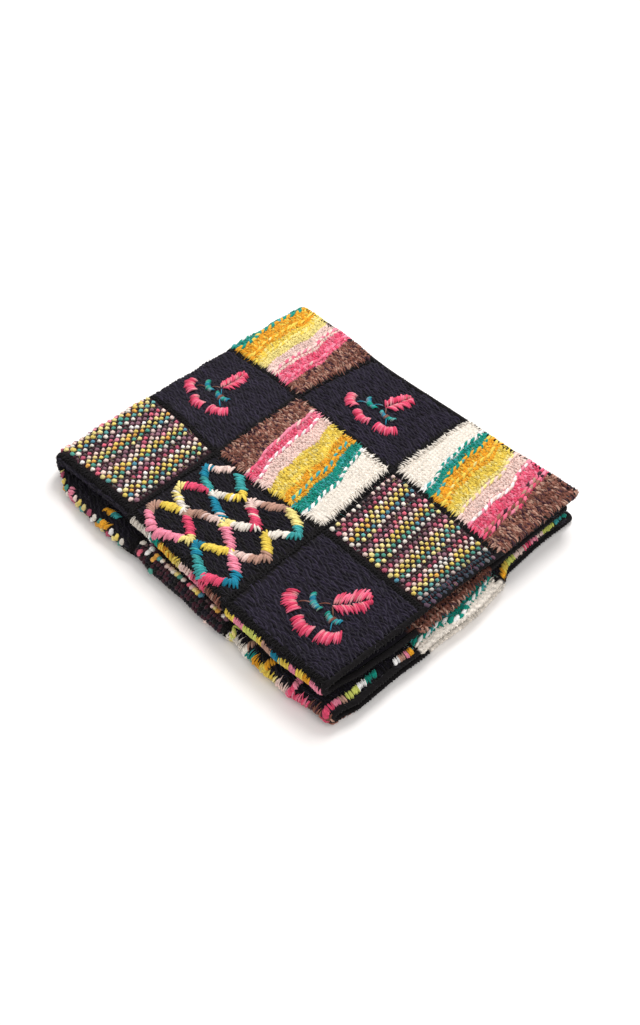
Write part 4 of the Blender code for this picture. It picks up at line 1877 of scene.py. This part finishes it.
@dataclass
class Sprigs(PatchWork):
    """Sprigs in satin stitch: a feathered leaf, three fans, two buds and thin stems."""

    names: tuple[str, ...] = ("sprigs",)
    kinds: tuple[Knit, ...] = (Knit.PLAIN,)
    leaf_width: float = 0.0275
    fan_length: float = 0.0190
    fan_width: float = 0.0340
    bud_length: float = 0.0270
    bud_width: float = 0.0095
    pitch: float = 0.0030
    yarn_radius: float = 0.00170
    rise: float = 0.0026
    fan_bow: float = 0.005
    bud_bend: float = 0.018
    knot_below: float = 0.006
    knot_width: float = 0.002
    knot_run: tuple[float, float] = (0.001, 0.012)
    shades: float = 0.14
    # Painted highlight: how far each ring of some stitches is blended towards pale pink, from the start
    highlight_rings: tuple[float, ...] = (0.7, 0.45, 0.1, 0.0, 0.0)
    paleness: float = 0.8
    turn_spread: float = 0.09
    sizes: tuple[float, float] = (0.85, 1.2)
    rises: tuple[float, float] = (0.0, 0.0008)
    leaf_pitch: float = 1.15
    leaf_end: float = 0.90
    leaf_widths: tuple[float, float] = (0.72, 1.22)
    midrib: float = 0.0006
    leaf_slant: tuple[float, float] = (0.42, 0.70)
    fan_pitch: float = 0.85
    fan_base: float = 0.72
    fan_back: float = 0.45
    fan_reaches: tuple[float, float] = (0.36, 0.72)
    fan_spread: float = 1.15
    bud_pitch: float = 0.8
    bud_widths: tuple[float, float] = (0.85, 1.1)
    fan_turns: tuple[float, ...] = (-0.6, 0.0, 0.6)
    fan_sizes: tuple[float, ...] = (1.0, 1.0, 1.1)
    bud_turns: tuple[float, float] = (-0.35, 0.15)
    seed: int = 500
    finish: WoolFinish = WoolFinish("sprig_wool", mottle=0.15, ply_depth=0.0003,
                                    ply_shade=0.12)

    def _satin(self, starts: np.ndarray, ends: np.ndarray, yarns: tuple,
               draw: np.random.Generator, lift: float = 0.0, scale: float = 1.0) -> Strands:
        """Satin stitches from starts to ends, some of them with a painted highlight near their start,
        blended towards pale pink.

        Args:
            starts: Where each stitch starts.
            ends: Where each stitch ends.
            yarns: The yarns to draw from.
            draw: Where the small differences are drawn from.
            lift: Height over the usual one.
            scale: What the yarn's radius is multiplied by.

        Returns:
            The stitches.
        """
        number = len(starts)
        run = ends - starts
        colours = varied(dyed(yarns)[draw.integers(0, len(yarns), number)], draw, self.shades)
        # Painted highlight: some stitches are blended towards pale pink near their start
        highlight = (draw.uniform(size=number) < 0.5)[:, None] * np.array(self.highlight_rings)
        colours = colours[:, None] + (Yarn.PALE_PINK.linear * (0.4 + 0.6 * colours.max(
            axis=-1))[:, None, None] - colours[:, None]) * highlight[..., None] * self.paleness
        return sew((starts + ends) / 2,
                   np.arctan2(run[:, 1], run[:, 0]) + draw.normal(0.0, self.turn_spread, number),
                   np.linalg.norm(run, axis=-1), SATIN,
                   self.yarn_radius * scale * draw.uniform(*self.sizes, number), colours,
                   self.rise + lift + draw.uniform(*self.rises, number))

    def _leaf(self, base: np.ndarray, tip: np.ndarray, scale: float,
              draw: np.random.Generator) -> Strands:
        """Two rows of stitches slanting from the midrib out and towards the tip.

        Args:
            base: The leaf's base.
            tip: The leaf's tip.
            scale: What its width is multiplied by.
            draw: Where the small differences are drawn from.

        Returns:
            The stitches.
        """
        run = tip - base
        length = np.linalg.norm(run)
        run = run / length
        aside = np.array([-run[1], run[0]])
        number = int(length / (self.pitch * self.leaf_pitch))
        share = np.tile(np.linspace(0.0, self.leaf_end, number), 2)
        side = np.repeat([-1.0, 1.0], number)
        taper = (0.80 + 0.90 * share) * (1.0 - share ** 2.2)
        width = self.leaf_width * scale * taper
        width = width * draw.uniform(*self.leaf_widths, len(share))
        starts = base + run * (share * length)[:, None] + aside * (side * self.midrib)[:, None]
        ahead, out = self.leaf_slant
        ends = starts + run * (width * ahead)[:, None] + aside * (side * width * out)[:, None]
        return self._satin(starts, ends, skeins("ROSE HOT_PINK CORAL HOT_PINK"),
                           draw)

    def _fan(self, middle: np.ndarray, heading: float, size: float,
             draw: np.random.Generator) -> Strands:
        """Stitches side by side across a short bowed line, spreading at their far side.

        Args:
            middle: The fan's middle.
            heading: The angle from the patch's length.
            size: What the size is multiplied by.
            draw: Where the small differences are drawn from.

        Returns:
            The stitches.
        """
        number = int(self.fan_width * size / (self.pitch * self.fan_pitch))
        share = np.linspace(-0.5, 0.5, number)
        along = np.array([math.cos(heading), math.sin(heading)])
        aside = np.array([along[1], -along[0]])
        bow = self.fan_bow * (1.0 - 4 * share ** 2)
        starts = (middle + along * (share * self.fan_width * size * self.fan_base)[:, None]
                  - aside * (self.fan_length * size * self.fan_back - bow)[:, None])
        far = self.fan_length * size * draw.uniform(*self.fan_reaches, number) + bow
        ends = (middle + along * (share * self.fan_width * size * self.fan_spread)[:, None]
                + aside * far[:, None])
        return self._satin(starts, ends, skeins("ROSE HOT_PINK HOT_PINK CORAL"),
                           draw, 0.0003)

    def _bud(self, middle: np.ndarray, heading: float, draw: np.random.Generator) -> Strands:
        """Short stitches across a bent line.

        Args:
            middle: The bud's middle.
            heading: The angle from the patch's length.
            draw: Where the small differences are drawn from.

        Returns:
            The stitches.
        """
        number = int(self.bud_length / (self.pitch * self.bud_pitch))
        share = np.linspace(-0.5, 0.5, number)
        along = np.array([math.cos(heading), math.sin(heading)])
        aside = np.array([-along[1], along[0]])
        centre = middle + along * (share * self.bud_length)[:, None]
        centre = centre + aside * (self.bud_bend * share ** 2)[:, None]
        half = aside * (self.bud_width / 2 * draw.uniform(*self.bud_widths, number))[:, None]
        return self._satin(centre - half, centre + half, skeins("SEA TEAL BLUE"), draw,
                           0.0001, 0.9)

    def _sprig(self, patch: Patch, draw: np.random.Generator) -> list[Strands]:
        """The stems, leaf, fans, buds and knot of one patch's sprig.

        Args:
            patch: The patch.
            draw: Where the small differences are drawn from.

        Returns:
            The stitches, part by part.
        """
        *parts, scale = SPRIGS[patch.index]
        base, tip, fans, buds = (part * self.cloth.patch_size for part in parts)
        heading = math.atan2(*(fans[2] - fans[0])[::-1])
        starts = np.array([base, buds[0], buds[1], base])
        ends = np.array([buds[0], fans[0], fans[2], buds[1]])
        bundles = [self._satin(starts + (ends - starts) * 0.05, starts + (ends - starts) * 0.80,
                               skeins("BROWN BLUE"), draw, -0.0004, 0.5),
                   self._leaf(base, tip, scale, draw)]
        for turn, share, middle in zip(self.fan_turns, self.fan_sizes, fans):
            bundles.append(self._fan(middle, heading + turn, share * scale, draw))
        for turn, middle in zip(self.bud_turns, buds):
            bundles.append(self._bud(middle, heading + turn, draw))
        knot = buds[1] + np.array([[0.0, -self.knot_below],
                                   [self.knot_width, -self.knot_below]])
        bundles.append(self._satin(knot, knot + self.knot_run, skeins("BROWN BROWN"), draw,
                                   0.0018, 0.8))
        return bundles

    def bundles(self, patch: Patch, draw: np.random.Generator) -> Iterator[Bundle]:
        """The parts of the patch's sprig, if it has one.

        Args:
            patch: The patch.
            draw: Where the small differences are drawn from.

        Yields:
            The strands and the piece that they belong to.
        """
        if patch.index in SPRIGS:
            for strands in self._sprig(patch, draw):
                yield Bundle("sprigs", strands, 6)


@dataclass
class Fuzz(PatchWork):
    """Loose fibres that stand off the stitches, as fine closed spikes."""

    names: tuple[str, ...] = ("loose_fibres",)
    density: float = 9000.0
    radius: float = 0.00018
    lengths: tuple[float, float] = (0.003, 0.010)
    heights: tuple[float, float] = (0.0006, 0.0045)
    rise: float = 0.0022
    spike: float = 8.0
    dark_beside_join: float = 0.006
    striped_share: float = 2.0
    other_share: float = 0.8
    # Painted sheen: the loose fibres are drawn lighter than the yarn they stand off
    striped_painted_sheen: float = 1.1
    plain_painted_sheen: float = 1.4
    seed: int = 900
    finish: WoolFinish = WoolFinish("loose_fibre", sheen=0.2, mottle=0.1)

    def bundles(self, patch: Patch, draw: np.random.Generator) -> Iterator[Bundle]:
        """Fibres of one patch: each starts in a stitch, leans over and thins out.

        Args:
            patch: The patch.
            draw: Where the small differences are drawn from.

        Yields:
            The strands and the piece that they belong to.
        """
        if row_below(patch):
            return
        size = self.cloth.patch_size
        striped = patch.kind is Knit.STRIPED
        share = self.striped_share if striped else self.other_share
        number = int(self.density * share * size[0] * size[1])
        middle = draw.uniform(0.0, 1.0, (number, 2)) * size
        # Painted sheen: striped fibres are lighter than their stripe, navy ones lighter still
        if striped:
            colours = stripe_colours(patch, middle) * self.striped_painted_sheen
        elif patch.kind is Knit.WOVEN:
            colours = dyed(skeins("PINK PALE_YELLOW PLUM SEA"))[
                draw.integers(0, 4, number)]
        else:
            colours = np.repeat(dyed([Yarn.NAVY]) * self.plain_painted_sheen, number, axis=0)
        near_join = np.minimum(middle, size - middle).min(axis=-1) < self.dark_beside_join
        colours = np.where(near_join[:, None], Yarn.NAVY.linear, colours)
        yield Bundle("loose_fibres", sew(
            middle, draw.uniform(0.0, 2 * math.pi, number), draw.uniform(*self.lengths, number),
            FIBRE, self.radius, colours, self.rise, draw.uniform(*self.heights, number)), 3,
            self.spike)


@dataclass
class Studio:
    """A plain pale floor, soft lights and the camera."""

    azimuth: float = 46.39
    elevation: float = 50.64
    distance: float = 1.5050
    look_at: tuple[float, float, float] = (0.0680, -0.0445, 0.0679)
    lens: float = 35.63
    floor_size: float = 12.0
    floor_colour: tuple = (0.93, 0.905, 0.89, 1.0)
    sky_colour: tuple = (1.0, 0.985, 0.975, 1.0)
    sky: float = 0.70
    lights: tuple = (
        # (name, place, size, power)
        ("key", (-0.62, 1.30, 1.95), 1.3, 50.0),
        ("fill", (1.3, -0.3, 2.2), 2.2, 12.0),
    )

    def _floor(self) -> None:
        """A large pale floor, four corners of a square at the height of zero."""
        half = self.floor_size / 2
        mesh = bpy.data.meshes.new("floor")
        mesh.from_pydata([(-half, -half, 0), (half, -half, 0), (half, half, 0),
                          (-half, half, 0)], [], [(0, 1, 2, 3)])
        material = bpy.data.materials.new("pale_floor")
        material.use_nodes = True
        shader = material.node_tree.nodes["Principled BSDF"]
        shader.inputs["Base Color"].default_value = self.floor_colour
        shader.inputs["Roughness"].default_value = 0.9
        mesh.materials.append(material)
        floor = bpy.data.objects.new("floor", mesh)
        bpy.context.scene.collection.objects.link(floor)

    def _light(self, name: str, place: tuple, size: float, power: float) -> None:
        """An area light that faces the blanket.

        Args:
            name: The light's name.
            place: Where it stands.
            size: Its width in metres.
            power: The light's power in watts.
        """
        data = bpy.data.lights.new(name, "AREA")
        data.shape = "DISK"
        data.size = size
        data.energy = power
        light = bpy.data.objects.new(name, data)
        light.location = place
        light.rotation_euler = Vector(place).to_track_quat("Z", "Y").to_euler()
        bpy.context.scene.collection.objects.link(light)

    def _camera(self) -> None:
        """The camera, at its angle and distance from what it looks at."""
        turn, rise = math.radians(self.azimuth), math.radians(self.elevation)
        away = Vector((math.sin(turn) * math.cos(rise), -math.cos(turn) * math.cos(rise),
                       math.sin(rise)))
        data = bpy.data.cameras.new("camera")
        data.sensor_width = 36.0
        data.lens = self.lens
        camera = bpy.data.objects.new("camera", data)
        camera.location = Vector(self.look_at) + away * self.distance
        camera.rotation_euler = away.to_track_quat("Z", "Y").to_euler()
        bpy.context.scene.collection.objects.link(camera)
        bpy.context.scene.camera = camera

    def build(self) -> None:
        """Set up the floor, the sky, the lights and the camera."""
        self._floor()
        world = bpy.data.worlds.new("studio")
        world.use_nodes = True
        background = world.node_tree.nodes["Background"]
        background.inputs["Color"].default_value = self.sky_colour
        background.inputs["Strength"].default_value = self.sky
        bpy.context.scene.world = world
        bpy.context.scene.view_settings.view_transform = "Standard"
        for light in self.lights:
            self._light(*light)
        self._camera()


def wear(piece: bpy.types.Object) -> bpy.types.Object:
    """Let a piece ride on the body, and log how many triangles it has.

    Args:
        piece: The piece.

    Returns:
        The same piece.
    """
    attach(piece, BODY)
    triangles = sum(len(face.vertices) - 2 for face in piece.data.polygons)
    LOG.info("%s: %d triangles", piece.name, triangles)
    return piece


def main() -> None:
    """Build the blanket's pieces and the studio."""
    logging.basicConfig(level=logging.INFO, format="%(name)s: %(message)s")
    cloth = Cloth()
    patches = all_patches(cloth)
    ground = wear(KnitCloth(cloth).build())
    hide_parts("blanket")
    edging = wear(Edging(cloth).build())
    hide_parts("edging")
    works = (WovenPatches, StripedPatches, NetPatches, BrushedGround, Sprigs, Fuzz, WrongSide)
    stitched = [piece for work in works for piece in work(cloth).build(patches)]
    for piece in stitched:
        wear(piece)
    joins = wear(JoiningBands(cloth).build())
    Studio().build()
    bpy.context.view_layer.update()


if __name__ == "__main__":
    main()
